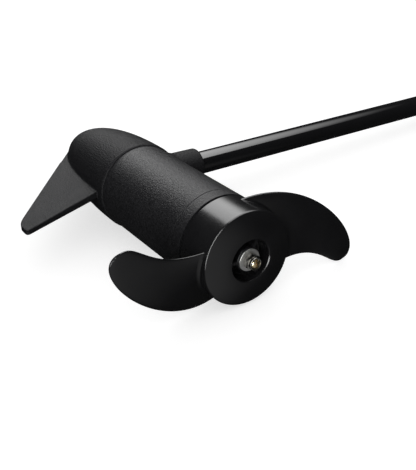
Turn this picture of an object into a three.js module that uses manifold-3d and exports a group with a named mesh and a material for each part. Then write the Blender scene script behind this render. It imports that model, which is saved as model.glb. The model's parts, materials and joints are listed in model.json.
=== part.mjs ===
// Lower unit of an electric trolling motor with its column tube.
//
// Everything is drawn in the pod's own frame, in millimetres: +Y runs along the motor axis from
// the propeller towards the nose, +X points along the column tube and -X along the skeg.
// The finished unit is laid on the ground: the pod leans about its own axis until the free end
// of the tube touches the ground too, and the origin is the bottom centre of its bounding box.

import * as THREE from 'three';
import { mergeVertices } from 'three/addons/utils/BufferGeometryUtils.js';
import { ParametricGeometry } from 'three/addons/geometries/ParametricGeometry.js';
import Module from 'manifold-3d';

const wasm = await Module();
wasm.setup();

// ---------------------------------------------------------------- driving dimensions

const CLEAR = 0.3; // gap left between pieces that touch

const POD = { radius: 44.8, bore: 41.5, start: 54.9, end: 187.4 };
const REAR = {
  start: 39.1, end: 54.6, wall: 4.5, spigotEnd: 62, spigotBore: 37.5, bossRadius: 17, bossStart: 30,
};
const NOSE = { radius: 46.5, rim: 187.7, fullAt: 190, tip: 335, fullness: 2.4, wall: 4.6 };
const BULKHEAD = { front: 199, back: 192 };
const SPIGOT_R = POD.bore - CLEAR;
const SPIGOT_START = 180; // where the nose casting's spigot starts inside the barrel
const BRUSH_ROOM_R = 31.5;
const O_RING = { inner: 39.6, outer: 41.2, width: 2.2, groove: 39.3, grooveWidth: 3, fromJoint: 2.2 };

const TUBE = { radius: 12.7, wall: 1.7, y: 209.1, start: 22, length: 762 };
const TUBE_BOSS = { radius: 17.9, draft: 0.6, inner: 14, end: 83, edge: 2 };
const SKEG = { reach: 139.5, rootThickness: 8, tipThickness: 5.2 };

const HUB = {
  radius: 45, end: 37.9, wall: 3.5, crown: 4.9, recess: 19.8, pocketFloor: 10, draft: 0.6,
  bossRadius: 11.5, bossStart: -0.8, bossEnd: 21.5,
};
const BLADE = { start: 10.3, perRadian: 12.85, rootThickness: 6.5, tipThickness: 3 };
const BLADES = 2;
const REST_TURN = 0.5; // degrees that the rotor is turned, so that the low blade clears the ground

const SHAFT = {
  radius: 6, start: -12.4, end: 205, thread: 4, threadEnd: 2, seat: 8, seatStart: 57.3, seatEnd: 160,
};
const DRIVER_SLOT = { width: 1.1, depth: 1.5 };
const CLIP = { start: 45.1, end: 46.5, depth: 0.7, outside: 8.4 };
const WASHER = { radius: 10.5, start: -2.7, end: -1.1 };
const NUT = { flats: 13, start: -8.6, end: -3, collar: 5.9, collarStart: -11.8 };
const PIN = { radius: 2.4, length: 30, y: 17.5 };
const BEARING = { bore: 12, outside: 32, width: 10, y: 52, balls: 8, ballRadius: 2.5, landHeight: 2.1 };
const SEAL = { outside: 26, width: 6, first: 31, second: 37.6, bodyRadius: 7.6, lip: 6.3, lipWidth: 1 };
const BUSHING = { outside: 20, start: 190, end: 204.5, wall: 4.5 };
const THRUST = { radius: 10, start: 186.6, end: 189.6 };

const BOLT = {
  circle: 35.8, radius: 2.4, hole: 2.8, head: 4.3, headStart: 33.2, headEnd: 38, end: 196.6, washer: 5,
};
const MAGNET = { inner: 32.4, start: 78, end: 152, spread: 124 };
const CORE = { radius: 31.3, start: 85, end: 145, slots: 12, slotWidth: 5, slotBottom: 17 };
const COMMUTATOR = { radius: 14, start: 161, end: 177 };
const BRUSH = { y: 169, width: 8, height: 7, length: 11 };
const BRUSH_PLATE = { inner: 15, outer: 31, start: 181, end: 183.5 };
const PLATE_SCREW = { circle: 27.5, radius: 1.5, head: 3, hole: 1.9, end: 196, angles: [45, 225] };
const SPRING = { radius: 2.4, wire: 0.35, turns: 3, end: 30.7 };
const LEAD = { radius: 1.8, apart: 2.7, end: 770 };
const WIRE_HOLE = { x: -13, z: 21, radius: 3.5 };
const TERMINAL = { radius: 2.3, length: 10.7 };
const WINDING = { inner: 12, shoulder: 24, outer: 28.5, start: 73, end: 157 };

const ROUND = 32; // sides of the large turned pieces
const SMALL = 20; // sides of the small turned pieces
const TAU = Math.PI * 2;
const radians = THREE.MathUtils.degToRad;

// ---------------------------------------------------------------- solids, joins and cuts

function toSolid(geometry) {
  const bare = new THREE.BufferGeometry();
  bare.setAttribute('position', geometry.getAttribute('position').clone());
  if (geometry.index) bare.setIndex(geometry.index.clone());
  const merged = mergeVertices(bare, 1e-3);
  const corners = merged.index.array;
  const kept = [];
  for (let i = 0; i < corners.length; i += 3) {
    const [a, b, c] = [corners[i], corners[i + 1], corners[i + 2]];
    if (a !== b && b !== c && c !== a) kept.push(a, b, c);
  }
  const build = (triangles) => new wasm.Manifold(new wasm.Mesh({
    numProp: 3,
    vertProperties: new Float32Array(merged.getAttribute('position').array),
    triVerts: new Uint32Array(triangles),
  }));
  const body = build(kept);
  if (body.volume() > 0) return body;
  return build(kept.reverse());
}

function toGeometry(body) {
  const mesh = body.getMesh();
  const geometry = new THREE.BufferGeometry();
  geometry.setAttribute('position', new THREE.BufferAttribute(new Float32Array(mesh.vertProperties), 3));
  geometry.setIndex(new THREE.BufferAttribute(new Uint32Array(mesh.triVerts), 1));
  geometry.computeVertexNormals();
  return geometry;
}

const join = (...pieces) => toGeometry(pieces.map(toSolid).reduce((a, b) => a.add(b)));
const cut = (piece, ...tools) => toGeometry(
  tools.map(toSolid).reduce((a, b) => a.subtract(b), toSolid(piece)));

// A turned piece about Y: [radius, y] points that start and end on the axis, or form a closed ring.
function turned(profile, sides = ROUND) {
  const points = profile.map(([radius, y]) => new THREE.Vector2(radius, y));
  const meetsAxis = profile[0][0] === 0 && profile.at(-1)[0] === 0;
  if (!meetsAxis) points.push(points[0].clone());
  return new THREE.LatheGeometry(points, sides);
}

const rod = (radius, from, to, sides = SMALL) =>
  turned([[0, from], [radius, from], [radius, to], [0, to]], sides);

const ring = (inner, outer, from, to, sides = SMALL) =>
  turned([[inner, from], [outer, from], [outer, to], [inner, to]], sides);

const box = (width, depth, height, x, y, z) => new THREE.BoxGeometry(width, depth, height).translate(x, y, z);

// Turns a piece drawn along Y so that it lies along X at the height of the tube.
const alongTube = (geometry) => geometry.rotateZ(-Math.PI / 2).translate(0, TUBE.y, 0);

// Carries a piece drawn at +Z to another angle about the motor axis.
const turnedBy = (geometry, degrees) => geometry.rotateY(radians(degrees));

// A piece drawn along the motor axis, moved out to a bolt circle.
const onCircle = (geometry, circle, degrees) => turnedBy(geometry.translate(0, 0, circle), degrees);

const wireHoles = (from, to) => [-1, 1].map((side) =>
  rod(WIRE_HOLE.radius, from, to, 12).translate(WIRE_HOLE.x, 0, side * WIRE_HOLE.z));

const plateScrewHoles = (radius, from, to) => PLATE_SCREW.angles.map((angle) =>
  onCircle(rod(radius, from, to, 10), PLATE_SCREW.circle, angle));

const boltHoles = (from, to) => [0, 180].map((angle) =>
  onCircle(rod(BOLT.hole, from, to, 12), BOLT.circle, angle));

// ---------------------------------------------------------------- nose casting

const noseRadius = (y) => {
  const along = Math.min(1, Math.max(0, (y - NOSE.fullAt) / (NOSE.tip - NOSE.fullAt)));
  return NOSE.radius * Math.sqrt(1 - along ** NOSE.fullness);
};

// Rings from the rim to the tip, closer together where the nose curves more.
function noseOutline(from, inset, steps) {
  const last = NOSE.tip - 1.5 * inset;
  const points = [];
  for (let i = 0; i < steps; i += 1) {
    const y = from + (last - from) * Math.sin((i / steps) * Math.PI / 2);
    points.push([noseRadius(y) - inset, y]);
  }
  return [...points.filter(([radius]) => radius > 0), [0, last]];
}

// The fin: an outline in the plane of the tube, drawn full at the root and thinner at the tip.
function skeg() {
  const outline = new THREE.Shape();
  outline.moveTo(-12, 300);
  outline.lineTo(-19.5, 326);
  outline.lineTo(-131, 186.2);
  outline.quadraticCurveTo(-SKEG.reach, 175.5, -SKEG.reach, 167);
  outline.lineTo(-SKEG.reach, 161);
  outline.quadraticCurveTo(-SKEG.reach, 155.9, -134, 158.4);
  outline.lineTo(-30, 205);
  const plate = new THREE.ExtrudeGeometry(outline, {
    depth: SKEG.rootThickness, bevelEnabled: false, curveSegments: 5,
  }).translate(0, 0, -SKEG.rootThickness / 2);
  const corner = plate.getAttribute('position');
  for (let i = 0; i < corner.count; i += 1) {
    const out = Math.min(1, Math.max(0, (-corner.getX(i) - 40) / (SKEG.reach - 40)));
    const slim = THREE.MathUtils.lerp(1, SKEG.tipThickness / SKEG.rootThickness, out);
    corner.setZ(i, corner.getZ(i) * slim);
  }
  return plate;
}

function tubeBoss() {
  const { radius, draft, inner, end, edge } = TUBE_BOSS;
  const profile = [[0, inner], [radius + draft, inner], [radius, end - edge], [radius - 0.6, end - 0.6],
    [radius - edge, end], [0, end]];
  return alongTube(turned(profile, 28));
}

function noseCasting() {
  const rimRound = 1.3;
  const outside = turned([[0, SPIGOT_START], [SPIGOT_R, SPIGOT_START], [SPIGOT_R, NOSE.rim],
    [NOSE.radius - rimRound, NOSE.rim], ...noseOutline(NOSE.fullAt - 1, 0, 10)]);
  const brushRoom = rod(BRUSH_ROOM_R, SPIGOT_START - 1, BULKHEAD.back, 28);
  const noseRoom = turned([[0, BULKHEAD.front], ...noseOutline(BULKHEAD.front, NOSE.wall, 6)], 24);
  const shell = cut(join(outside, skeg(), tubeBoss()), brushRoom, noseRoom);
  const bushingBore = rod(BUSHING.outside / 2 + CLEAR, BUSHING.start - 2, BUSHING.end + 2.5);
  const bushingBoss = rod(BUSHING.outside / 2 + BUSHING.wall, BUSHING.start - 1.5, BUSHING.end + 2, 24);
  const seatLength = 28;
  const tubeSeat = alongTube(rod(TUBE_BOSS.radius, TUBE_BOSS.inner, TUBE_BOSS.inner + seatLength, 28));
  const tubeBore = alongTube(rod(TUBE.radius + CLEAR, TUBE.start - CLEAR, TUBE_BOSS.end + 1, 28));
  const wireWay = alongTube(rod(8, TUBE_BOSS.inner - 3, TUBE.start, 16));
  const grooveEnd = POD.end - O_RING.fromJoint;
  const ringGroove = ring(O_RING.groove, SPIGOT_R + 1, grooveEnd - O_RING.grooveWidth, grooveEnd, ROUND);
  return cut(join(shell, bushingBoss, tubeSeat), bushingBore, tubeBore, wireWay, ringGroove,
    ...boltHoles(SPIGOT_START - 1, BOLT.end + 0.6), ...wireHoles(BULKHEAD.back - 1, BULKHEAD.front + 1),
    ...plateScrewHoles(PLATE_SCREW.radius + CLEAR, BULKHEAD.back - 2, PLATE_SCREW.end + 0.5));
}

// ---------------------------------------------------------------- barrel and rear housing

const centerHousing = () => ring(POD.bore, POD.radius, POD.start, POD.end, ROUND);

function rearHousing() {
  const { start, end, wall, spigotEnd, spigotBore, bossRadius, bossStart } = REAR;
  const edge = 0.8;
  const sealBore = SEAL.outside / 2 + CLEAR;
  const sealSeatEnd = SEAL.second + SEAL.width + 0.9;
  const shoulderBore = 11;
  const bearingBore = BEARING.outside / 2;
  const cupRadius = bearingBore + 3.5;
  const bearingFace = BEARING.y - BEARING.width / 2 - CLEAR;
  const cupEnd = BEARING.y + BEARING.width / 2 + 0.6;
  const groove = end + 1.8;
  const grooveEnd = groove + O_RING.grooveWidth;
  const profile = [
    [sealBore, bossStart], [bossRadius, bossStart], [bossRadius, start], [POD.radius - edge, start],
    [POD.radius, start + edge], [POD.radius, end], [SPIGOT_R, end], [SPIGOT_R, groove],
    [O_RING.groove, groove], [O_RING.groove, grooveEnd], [SPIGOT_R, grooveEnd],
    [SPIGOT_R, spigotEnd], [spigotBore, spigotEnd], [spigotBore, start + wall], [cupRadius, start + wall],
    [cupRadius, cupEnd], [bearingBore, cupEnd], [bearingBore, bearingFace], [shoulderBore, bearingFace],
    [shoulderBore, sealSeatEnd], [sealBore, sealSeatEnd],
  ];
  return cut(turned(profile), ...boltHoles(start - 1.1, spigotEnd + 1));
}

// A shaft seal: a rubber ring whose lip meets the shaft half way along it.
function sealRing(from) {
  const { outside, width, bodyRadius, lip, lipWidth } = SEAL;
  const to = from + width;
  const lipFrom = from + (width - lipWidth) / 2 - 0.5;
  return turned([[lip, lipFrom], [bodyRadius, from], [outside / 2, from], [outside / 2, to],
    [bodyRadius, to], [lip, lipFrom + lipWidth]], 24);
}

// An O-ring between a spigot and the barrel, drawn as eight flats.
function ringSeal(from) {
  const { inner, outer, width } = O_RING;
  const middle = (inner + outer) / 2;
  const half = (outer - inner) / 2;
  const corners = [];
  for (let i = 0; i < 8; i += 1) {
    const angle = radians(22.5 + 45 * i);
    corners.push([middle + half * Math.cos(angle), from + (width / 2) * (1 + Math.sin(angle))]);
  }
  return turned(corners, ROUND);
}

function throughBolt(angle) {
  const { radius, head, headStart, headEnd, end, circle } = BOLT;
  const socket = rod(2, headStart - 1, headStart + 2.5, 6);
  const shank = rod(radius, headEnd - 0.1, end, 12);
  return onCircle(cut(join(rod(head, headStart, headEnd, 12), shank), socket), circle, angle);
}

const boltWasher = (angle) => onCircle(
  ring(BOLT.radius + CLEAR, BOLT.washer, BOLT.headEnd + 0.2, REAR.start - CLEAR, 12), BOLT.circle, angle);

// ---------------------------------------------------------------- stator magnets, brushes and wiring

function magnet(middle) {
  const half = radians(MAGNET.spread / 2);
  const outline = new THREE.Shape();
  outline.absarc(0, 0, POD.bore - CLEAR, middle - half, middle + half, false);
  outline.absarc(0, 0, MAGNET.inner, middle + half, middle - half, true);
  return new THREE.ExtrudeGeometry(outline, {
    depth: MAGNET.end - MAGNET.start, bevelEnabled: false, curveSegments: 12,
  }).rotateX(-Math.PI / 2).translate(0, MAGNET.start, 0);
}

function brushPlate() {
  const { inner, outer, start, end } = BRUSH_PLATE;
  const { hole, head, circle, angles } = PLATE_SCREW;
  const standoffEnd = BULKHEAD.back - 2.3;
  const standoffs = angles.map((angle) =>
    onCircle(ring(hole, head, end - 0.1, standoffEnd, 10), circle, angle));
  return cut(join(ring(inner, outer, start, end, 28), ...standoffs),
    ...plateScrewHoles(hole, start - 1, end + 1.5), ...wireHoles(start - 1, end + 1.5));
}

function plateScrew(angle) {
  const { radius, head, end, circle } = PLATE_SCREW;
  const headEnd = BRUSH_PLATE.start - CLEAR;
  const screw = join(rod(head, headEnd - 2.3, headEnd, 12), rod(radius, headEnd - 0.1, end, 10));
  return onCircle(screw, circle, angle);
}

// A square brass tube that guides a brush, closed at its outer end, with a foot on the brush plate
// and a lug at its side for the lead.
function brushHolder(side) {
  const { y, width, height } = BRUSH;
  const wall = 1.5;
  const [innerEnd, outerEnd] = [16.3, 32.5];
  const middle = (innerEnd + outerEnd) / 2;
  const length = outerEnd - innerEnd;
  const outside = box(width + 2 * wall, height + 2 * wall, length, 0, y, side * middle);
  const way = box(width + 2 * CLEAR, height + 2 * CLEAR, length + 0.8, 0, y, side * (middle - 1.2));
  const footEnd = BRUSH_PLATE.start - CLEAR;
  const foot = box(width, 7, 8, 0, footEnd - 3.5, side * 26);
  const lug = box(3, 3, 3, -width / 2 - 2.8, y + 3, side * 24);
  return cut(join(outside, foot, lug), way);
}

const brush = (side) => box(BRUSH.width, BRUSH.height, BRUSH.length, 0, BRUSH.y,
  side * (COMMUTATOR.radius + CLEAR + BRUSH.length / 2));

class Coil extends THREE.Curve {
  constructor(radius, from, to, turns) {
    super();
    Object.assign(this, { radius, from, to, turns });
  }

  getPoint(t, target = new THREE.Vector3()) {
    const angle = TAU * this.turns * t;
    return target.set(this.radius * Math.cos(angle), this.radius * Math.sin(angle),
      THREE.MathUtils.lerp(this.from, this.to, t));
  }
}

function disc2d(radius, sides) {
  const outline = new THREE.Shape();
  for (let i = 0; i < sides; i += 1) {
    const angle = (TAU * i) / sides;
    outline[i ? 'lineTo' : 'moveTo'](radius * Math.cos(angle), radius * Math.sin(angle));
  }
  return outline;
}

function brushSpring(side) {
  const { radius, wire, turns, end } = SPRING;
  const start = COMMUTATOR.radius + 3 * CLEAR + BRUSH.length + 0.1;
  const extrudePath = new Coil(radius, side * start, side * end, turns);
  return new THREE.ExtrudeGeometry(disc2d(wire, 5), { steps: 9 * turns, bevelEnabled: false, extrudePath })
    .translate(0, BRUSH.y, 0);
}

// A lead from its brush holder, through the bulkhead and into the tube, where it runs straight.
function lead(side) {
  const { radius, apart, end } = LEAD;
  const { x: holeX, z: holeZ } = WIRE_HOLE;
  const straightFrom = 30;
  const points = [
    [-9.3, BRUSH.y + 3, 24], [-11.4, BRUSH.y + 4.4, 23.2], [holeX, BRUSH_PLATE.start - 2.5, holeZ + 0.4],
    [holeX, BULKHEAD.back + 1, holeZ], [holeX, BULKHEAD.front, holeZ - 0.2], [-11, 206, 17], [-4, 209.6, 9],
    [6, 209.3, 3.6], [16, TUBE.y, apart], [straightFrom, TUBE.y, apart],
  ].map(([x, y, z]) => new THREE.Vector3(x, y, side * z));
  const extrudePath = new THREE.CatmullRomCurve3(points, false, 'centripetal');
  const bend = new THREE.ExtrudeGeometry(disc2d(radius, 8), { steps: 22, bevelEnabled: false, extrudePath });
  const straight = alongTube(rod(radius, straightFrom - 0.5, end, 8)).translate(0, 0, side * apart);
  return join(bend, straight);
}

function leadTerminal(side) {
  const start = LEAD.end + CLEAR;
  const sleeve = rod(TERMINAL.radius, start, start + TERMINAL.length, 12);
  return alongTube(sleeve).translate(0, 0, side * LEAD.apart);
}

// ---------------------------------------------------------------- rotor

// Lays a piece drawn along Y across the shaft, where the drive pin goes through it.
const crosswise = (geometry) => geometry.rotateZ(Math.PI / 2).translate(0, PIN.y, 0);

function armatureShaft() {
  const { radius, thread, threadEnd, seat, seatStart, seatEnd, start, end } = SHAFT;
  const chamfer = 0.6;
  const groove = radius - CLIP.depth;
  const shaft = turned([[0, start], [thread - chamfer, start], [thread, start + chamfer], [thread, threadEnd],
    [radius, threadEnd], [radius, CLIP.start], [groove, CLIP.start], [groove, CLIP.end], [radius, CLIP.end],
    [radius, seatStart], [seat, seatStart], [seat, seatEnd], [radius, seatEnd], [radius, end - 1],
    [radius - 1, end], [0, end]], 24);
  const pinHole = crosswise(rod(PIN.radius + CLEAR, -radius - 3, radius + 3, 12));
  const driverSlot = box(DRIVER_SLOT.width, 2 * DRIVER_SLOT.depth, 3 * thread, 0, start, 0);
  return cut(shaft, pinHole, driverSlot);
}

function armatureCore() {
  const pitch = TAU / CORE.slots;
  const slotHalf = (radius) => Math.asin(CORE.slotWidth / 2 / radius);
  const [deepHalf, outerHalf] = [slotHalf(CORE.slotBottom), slotHalf(CORE.radius)];
  const corners = [];
  for (let i = 0; i < CORE.slots; i += 1) {
    const middle = i * pitch;
    [-deepHalf, deepHalf].forEach((turn) => corners.push([CORE.slotBottom, middle + turn]));
    [outerHalf, pitch / 2, pitch - outerHalf].forEach((turn) => corners.push([CORE.radius, middle + turn]));
  }
  const outline = new THREE.Shape(corners.map(([radius, turn]) =>
    new THREE.Vector2(radius * Math.cos(turn), radius * Math.sin(turn))));
  const bore = new THREE.Path();
  bore.absarc(0, 0, SHAFT.seat + CLEAR, 0, TAU, true);
  outline.holes.push(bore);
  return new THREE.ExtrudeGeometry(outline, {
    depth: CORE.end - CORE.start, bevelEnabled: false, curveSegments: 10,
  }).rotateX(Math.PI / 2).translate(0, CORE.end, 0);
}

// Copper wound through every slot and heaped at both ends of the core.
function armatureWinding() {
  const { inner, shoulder, outer, start, end } = WINDING;
  const heap = (from, to) => {
    const slope = (to - from) * 0.3;
    return turned([[inner, from], [shoulder, from], [outer, from + slope], [outer, to - slope],
      [shoulder, to], [inner, to]], 24);
  };
  const bars = [];
  for (let i = 0; i < CORE.slots; i += 1) {
    const bar = box(CORE.slotWidth - 1, CORE.end - CORE.start + 8, 9.5, 0, (CORE.start + CORE.end) / 2, 23);
    bars.push(turnedBy(bar, 90 + (360 / CORE.slots) * i));
  }
  return join(heap(start, CORE.start - CLEAR), heap(CORE.end + CLEAR, end), ...bars);
}

function commutator() {
  const drum = ring(SHAFT.radius + CLEAR, COMMUTATOR.radius, COMMUTATOR.start, COMMUTATOR.end, 24);
  const slits = [];
  for (let i = 0; i < CORE.slots; i += 1) {
    const slit = box(0.8, 14, 2, 0, COMMUTATOR.end - 6, COMMUTATOR.radius);
    slits.push(turnedBy(slit, (360 / CORE.slots) * (i + 0.5)));
  }
  return cut(drum, ...slits);
}

function bearingClip() {
  const middle = (CLIP.start + CLIP.end) / 2;
  const inner = SHAFT.radius - CLIP.depth + CLEAR;
  return cut(ring(inner, CLIP.outside, CLIP.start + 0.2, CLIP.end - 0.2, 24), box(4, 4, 6, 0, middle, 7));
}

// Rounded track for the balls, as points across the width of the bearing.
function track(outward) {
  const { y, ballRadius } = BEARING;
  const middle = (BEARING.bore + BEARING.outside) / 4;
  const points = [];
  for (let i = 0; i <= 4; i += 1) {
    const angle = radians(-48 + 24 * i);
    const reach = (ballRadius + CLEAR) * Math.cos(angle);
    points.push([middle + outward * reach, y + (ballRadius + CLEAR) * Math.sin(angle)]);
  }
  return points;
}

// A bearing ring from its seat to its land, with the track between them: -1 for the inner, 1 for the outer.
function bearingRing(outward, seat) {
  const { y, width, bore, outside, landHeight } = BEARING;
  const land = (bore + outside) / 4 + outward * landHeight;
  const [from, to] = [y - width / 2, y + width / 2];
  return turned([[seat, from], [land, from], ...track(outward), [land, to], [seat, to]], 24);
}

// Balls and the cage that spaces them, which travel round together.
function ballCage() {
  const middle = (BEARING.bore + BEARING.outside) / 4;
  const band = ring(middle - 0.6, middle + 0.6, BEARING.y - 1.6, BEARING.y + 1.6, 24);
  const balls = [];
  for (let i = 0; i < BEARING.balls; i += 1) {
    const ball = new THREE.SphereGeometry(BEARING.ballRadius, 6, 5).translate(0, BEARING.y, middle);
    balls.push(turnedBy(ball, (360 / BEARING.balls) * i));
  }
  return join(band, ...balls);
}

const noseBushing = () => ring(SHAFT.radius + CLEAR, BUSHING.outside / 2, BUSHING.start, BUSHING.end, 24);
const thrustWasher = () => ring(SHAFT.radius + CLEAR, THRUST.radius, THRUST.start, THRUST.end, 24);
const drivePin = () => crosswise(rod(PIN.radius, -PIN.length / 2, PIN.length / 2, 12));

// ---------------------------------------------------------------- propeller

// The two edges of a blade, seen along the axis, from the hub to the tip where they meet.
const bezier = (points) => new THREE.CubicBezierCurve(...points.map(([x, z]) => new THREE.Vector2(x, z)));
const BLADE_TIP = [122, -38.5];
const leadingEdge = bezier([[7.5, 42.3], [83, 63], [149, -29], BLADE_TIP]);
const trailingEdge = bezier([[39.3, -17.5], [96, -13], [103, -53.5], BLADE_TIP]);

// One blade on its helix: u goes round the section and v from the hub to the tip.
function blade(turn) {
  const closing = 0.06; // share of the length at each end over which the section closes to an edge
  const point = (u, v, target) => {
    const span = Math.min(1, Math.max(0, (v - closing) / (1 - 2 * closing)));
    const open = Math.min(1, v / closing, (1 - v) / closing);
    const front = leadingEdge.getPoint(span);
    const back = trailingEdge.getPoint(span);
    const round = TAU * u;
    const across = 0.5 + 0.5 * open * Math.cos(round);
    const radius = THREE.MathUtils.lerp(back.length(), front.length(), across);
    const backTurn = Math.atan2(back.y, back.x);
    const angle = THREE.MathUtils.lerp(backTurn, Math.atan2(front.y, front.x), across);
    const thick = THREE.MathUtils.lerp(BLADE.rootThickness, BLADE.tipThickness, span) * 0.5 * open;
    const y = BLADE.start + BLADE.perRadian * angle + thick * Math.sin(round);
    target.set(radius * Math.cos(angle), y, radius * Math.sin(angle));
  };
  return turnedBy(new ParametricGeometry(point, 12, 14), turn);
}

function propeller() {
  const { radius, end, wall, recess, crown, bossRadius, bossStart, bossEnd, pocketFloor, draft } = HUB;
  const shaftBore = SHAFT.radius + CLEAR;
  const floorUnder = pocketFloor + 3;
  const face = (r, inset) => [r, inset - crown * (1 - ((r - recess) / (radius - recess)) ** 1.7)];
  const shellProfile = [
    ...[recess, 27, 34, 40, radius - 1.4].map((r) => face(r, 0)), [radius, 1.2], [radius, end],
    [radius - wall, end], [radius - wall, 5], ...[38, 30, recess + wall].map((r) => face(r, wall)),
    [recess + wall, floorUnder], [bossRadius, floorUnder], [bossRadius, bossEnd], [shaftBore, bossEnd],
    [shaftBore, bossStart], [bossRadius, bossStart], [bossRadius + draft, pocketFloor],
    [recess - draft, pocketFloor],
  ];
  const shell = turned(shellProfile);
  const pocketRibs = [30, 150, 270].map((angle) =>
    onCircle(box(3, 11, recess - bossRadius + 2, 0, pocketFloor - 5.3, 0), (recess + bossRadius) / 2, angle));
  const innerRibs = [0, 90, 180, 270].map((angle) =>
    onCircle(box(2.6, 26, radius - recess - wall - 1, 0, 15, 0), (radius + recess) / 2 + 0.2, angle));
  const pinSlot = box(PIN.length + 4, 10, 2 * (PIN.radius + CLEAR), 0, PIN.y + 2, 0);
  const blades = Array.from({ length: BLADES }, (_, i) => blade((360 / BLADES) * i));
  return cut(join(shell, ...pocketRibs, ...innerRibs, ...blades), pinSlot);
}

const propWasher = () => ring(SHAFT.thread + CLEAR, WASHER.radius, WASHER.start, WASHER.end, 24);

// Hexagon with a plain round collar that holds the locking ring.
function propNut() {
  const hexagon = rod(NUT.flats / 2 / Math.cos(Math.PI / 6), NUT.start, NUT.end, 6);
  const collar = rod(NUT.collar, NUT.collarStart, NUT.start + 0.1, 24);
  return cut(join(hexagon, collar), rod(SHAFT.thread + CLEAR, NUT.collarStart - 1, NUT.end + 1, 24));
}

// ---------------------------------------------------------------- column tube

const columnTube = () => alongTube(
  ring(TUBE.radius - TUBE.wall, TUBE.radius, TUBE.start, TUBE.start + TUBE.length, 28));

// ---------------------------------------------------------------- assembly

const finish = (color, roughness, metalness) =>
  new THREE.MeshStandardMaterial({ color, roughness, metalness });
const powderCoat = finish(0x17171a, 0.55, 0.1);
const glossBlack = finish(0x0c0c0e, 0.15, 0.1);
const nylonBlack = finish(0x101012, 0.35, 0);
const stainless = finish(0xb9bbbe, 0.25, 1);
const bearingSteel = finish(0xa8abb0, 0.2, 1);
const laminated = finish(0x6d6f74, 0.5, 0.8);
const ferrite = finish(0x2c2d30, 0.8, 0.1);
const copper = finish(0xb66a3a, 0.4, 0.9);
const bronze = finish(0xa98048, 0.45, 0.9);
const brass = finish(0xc9a558, 0.3, 1);
const carbon = finish(0x232326, 0.75, 0.2);
const rubber = finish(0x141414, 0.7, 0);
const fibre = finish(0x8a5a34, 0.7, 0);
const redSleeve = finish(0xa31b1b, 0.5, 0);
const blackSleeve = finish(0x161616, 0.5, 0);

const pod = new THREE.Group();
const rotor = new THREE.Group();
rotor.rotation.y = -radians(REST_TURN);
pod.add(rotor);

function place(group, name, geometry, material) {
  const mesh = new THREE.Mesh(toGeometry(toSolid(geometry)), material);
  mesh.name = name;
  group.add(mesh);
}

place(pod, 'nose_casting', noseCasting(), powderCoat);
place(pod, 'center_housing', centerHousing(), powderCoat);
place(pod, 'rear_housing', rearHousing(), powderCoat);
place(pod, 'column_tube', columnTube(), glossBlack);
place(pod, 'nose_o_ring', ringSeal(POD.end - O_RING.fromJoint - 0.4 - O_RING.width), rubber);
place(pod, 'rear_o_ring', ringSeal(REAR.end + O_RING.fromJoint), rubber);
place(pod, 'outer_shaft_seal', sealRing(SEAL.first), rubber);
place(pod, 'inner_shaft_seal', sealRing(SEAL.second), rubber);
place(pod, 'bearing_outer_ring', bearingRing(1, BEARING.outside / 2 - CLEAR), bearingSteel);
place(pod, 'nose_bushing', noseBushing(), bronze);
place(pod, 'brush_plate', brushPlate(), fibre);
[0, 180].forEach((angle, i) => {
  place(pod, `magnet_${i + 1}`, magnet(radians(angle)), ferrite);
  place(pod, `through_bolt_${i + 1}`, throughBolt(angle), stainless);
  place(pod, `bolt_washer_${i + 1}`, boltWasher(angle), stainless);
  place(pod, `brush_plate_screw_${i + 1}`, plateScrew(angle + 45), brass);
});
[1, -1].forEach((side, i) => {
  place(pod, `brush_holder_${i + 1}`, brushHolder(side), brass);
  place(pod, `brush_${i + 1}`, brush(side), carbon);
  place(pod, `brush_spring_${i + 1}`, brushSpring(side), stainless);
  place(pod, ['lead_red', 'lead_black'][i], lead(side), [redSleeve, blackSleeve][i]);
  place(pod, ['terminal_red', 'terminal_black'][i], leadTerminal(side), brass);
});

place(rotor, 'armature_shaft', armatureShaft(), brass);
place(rotor, 'armature_core', armatureCore(), laminated);
place(rotor, 'armature_winding', armatureWinding(), copper);
place(rotor, 'commutator', commutator(), copper);
place(rotor, 'bearing_inner_ring', bearingRing(-1, SHAFT.radius + CLEAR), bearingSteel);
place(rotor, 'bearing_clip', bearingClip(), stainless);
place(rotor, 'thrust_washer', thrustWasher(), fibre);
place(rotor, 'drive_pin', drivePin(), stainless);
place(rotor, 'propeller', propeller(), nylonBlack);
place(rotor, 'prop_washer', propWasher(), stainless);
place(rotor, 'prop_nut', propNut(), stainless);
place(pod, 'ball_cage', ballCage(), bearingSteel);

// Lay the unit down: the nose rim and the lower edge of the tube's free end touch the ground.
const tubeEnd = TUBE.start + TUBE.length;
const lean = Math.asin(NOSE.radius / Math.hypot(tubeEnd, TUBE.radius)) - Math.atan2(TUBE.radius, tubeEnd);
pod.rotation.y = lean;

const unit = new THREE.Group();
unit.add(pod);
unit.updateMatrixWorld(true);
const bounds = new THREE.Box3().setFromObject(unit, true);
const centre = bounds.getCenter(new THREE.Vector3());
pod.position.set(-centre.x, -centre.y, -bounds.min.z);
unit.updateMatrixWorld(true);

export default unit;
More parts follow.
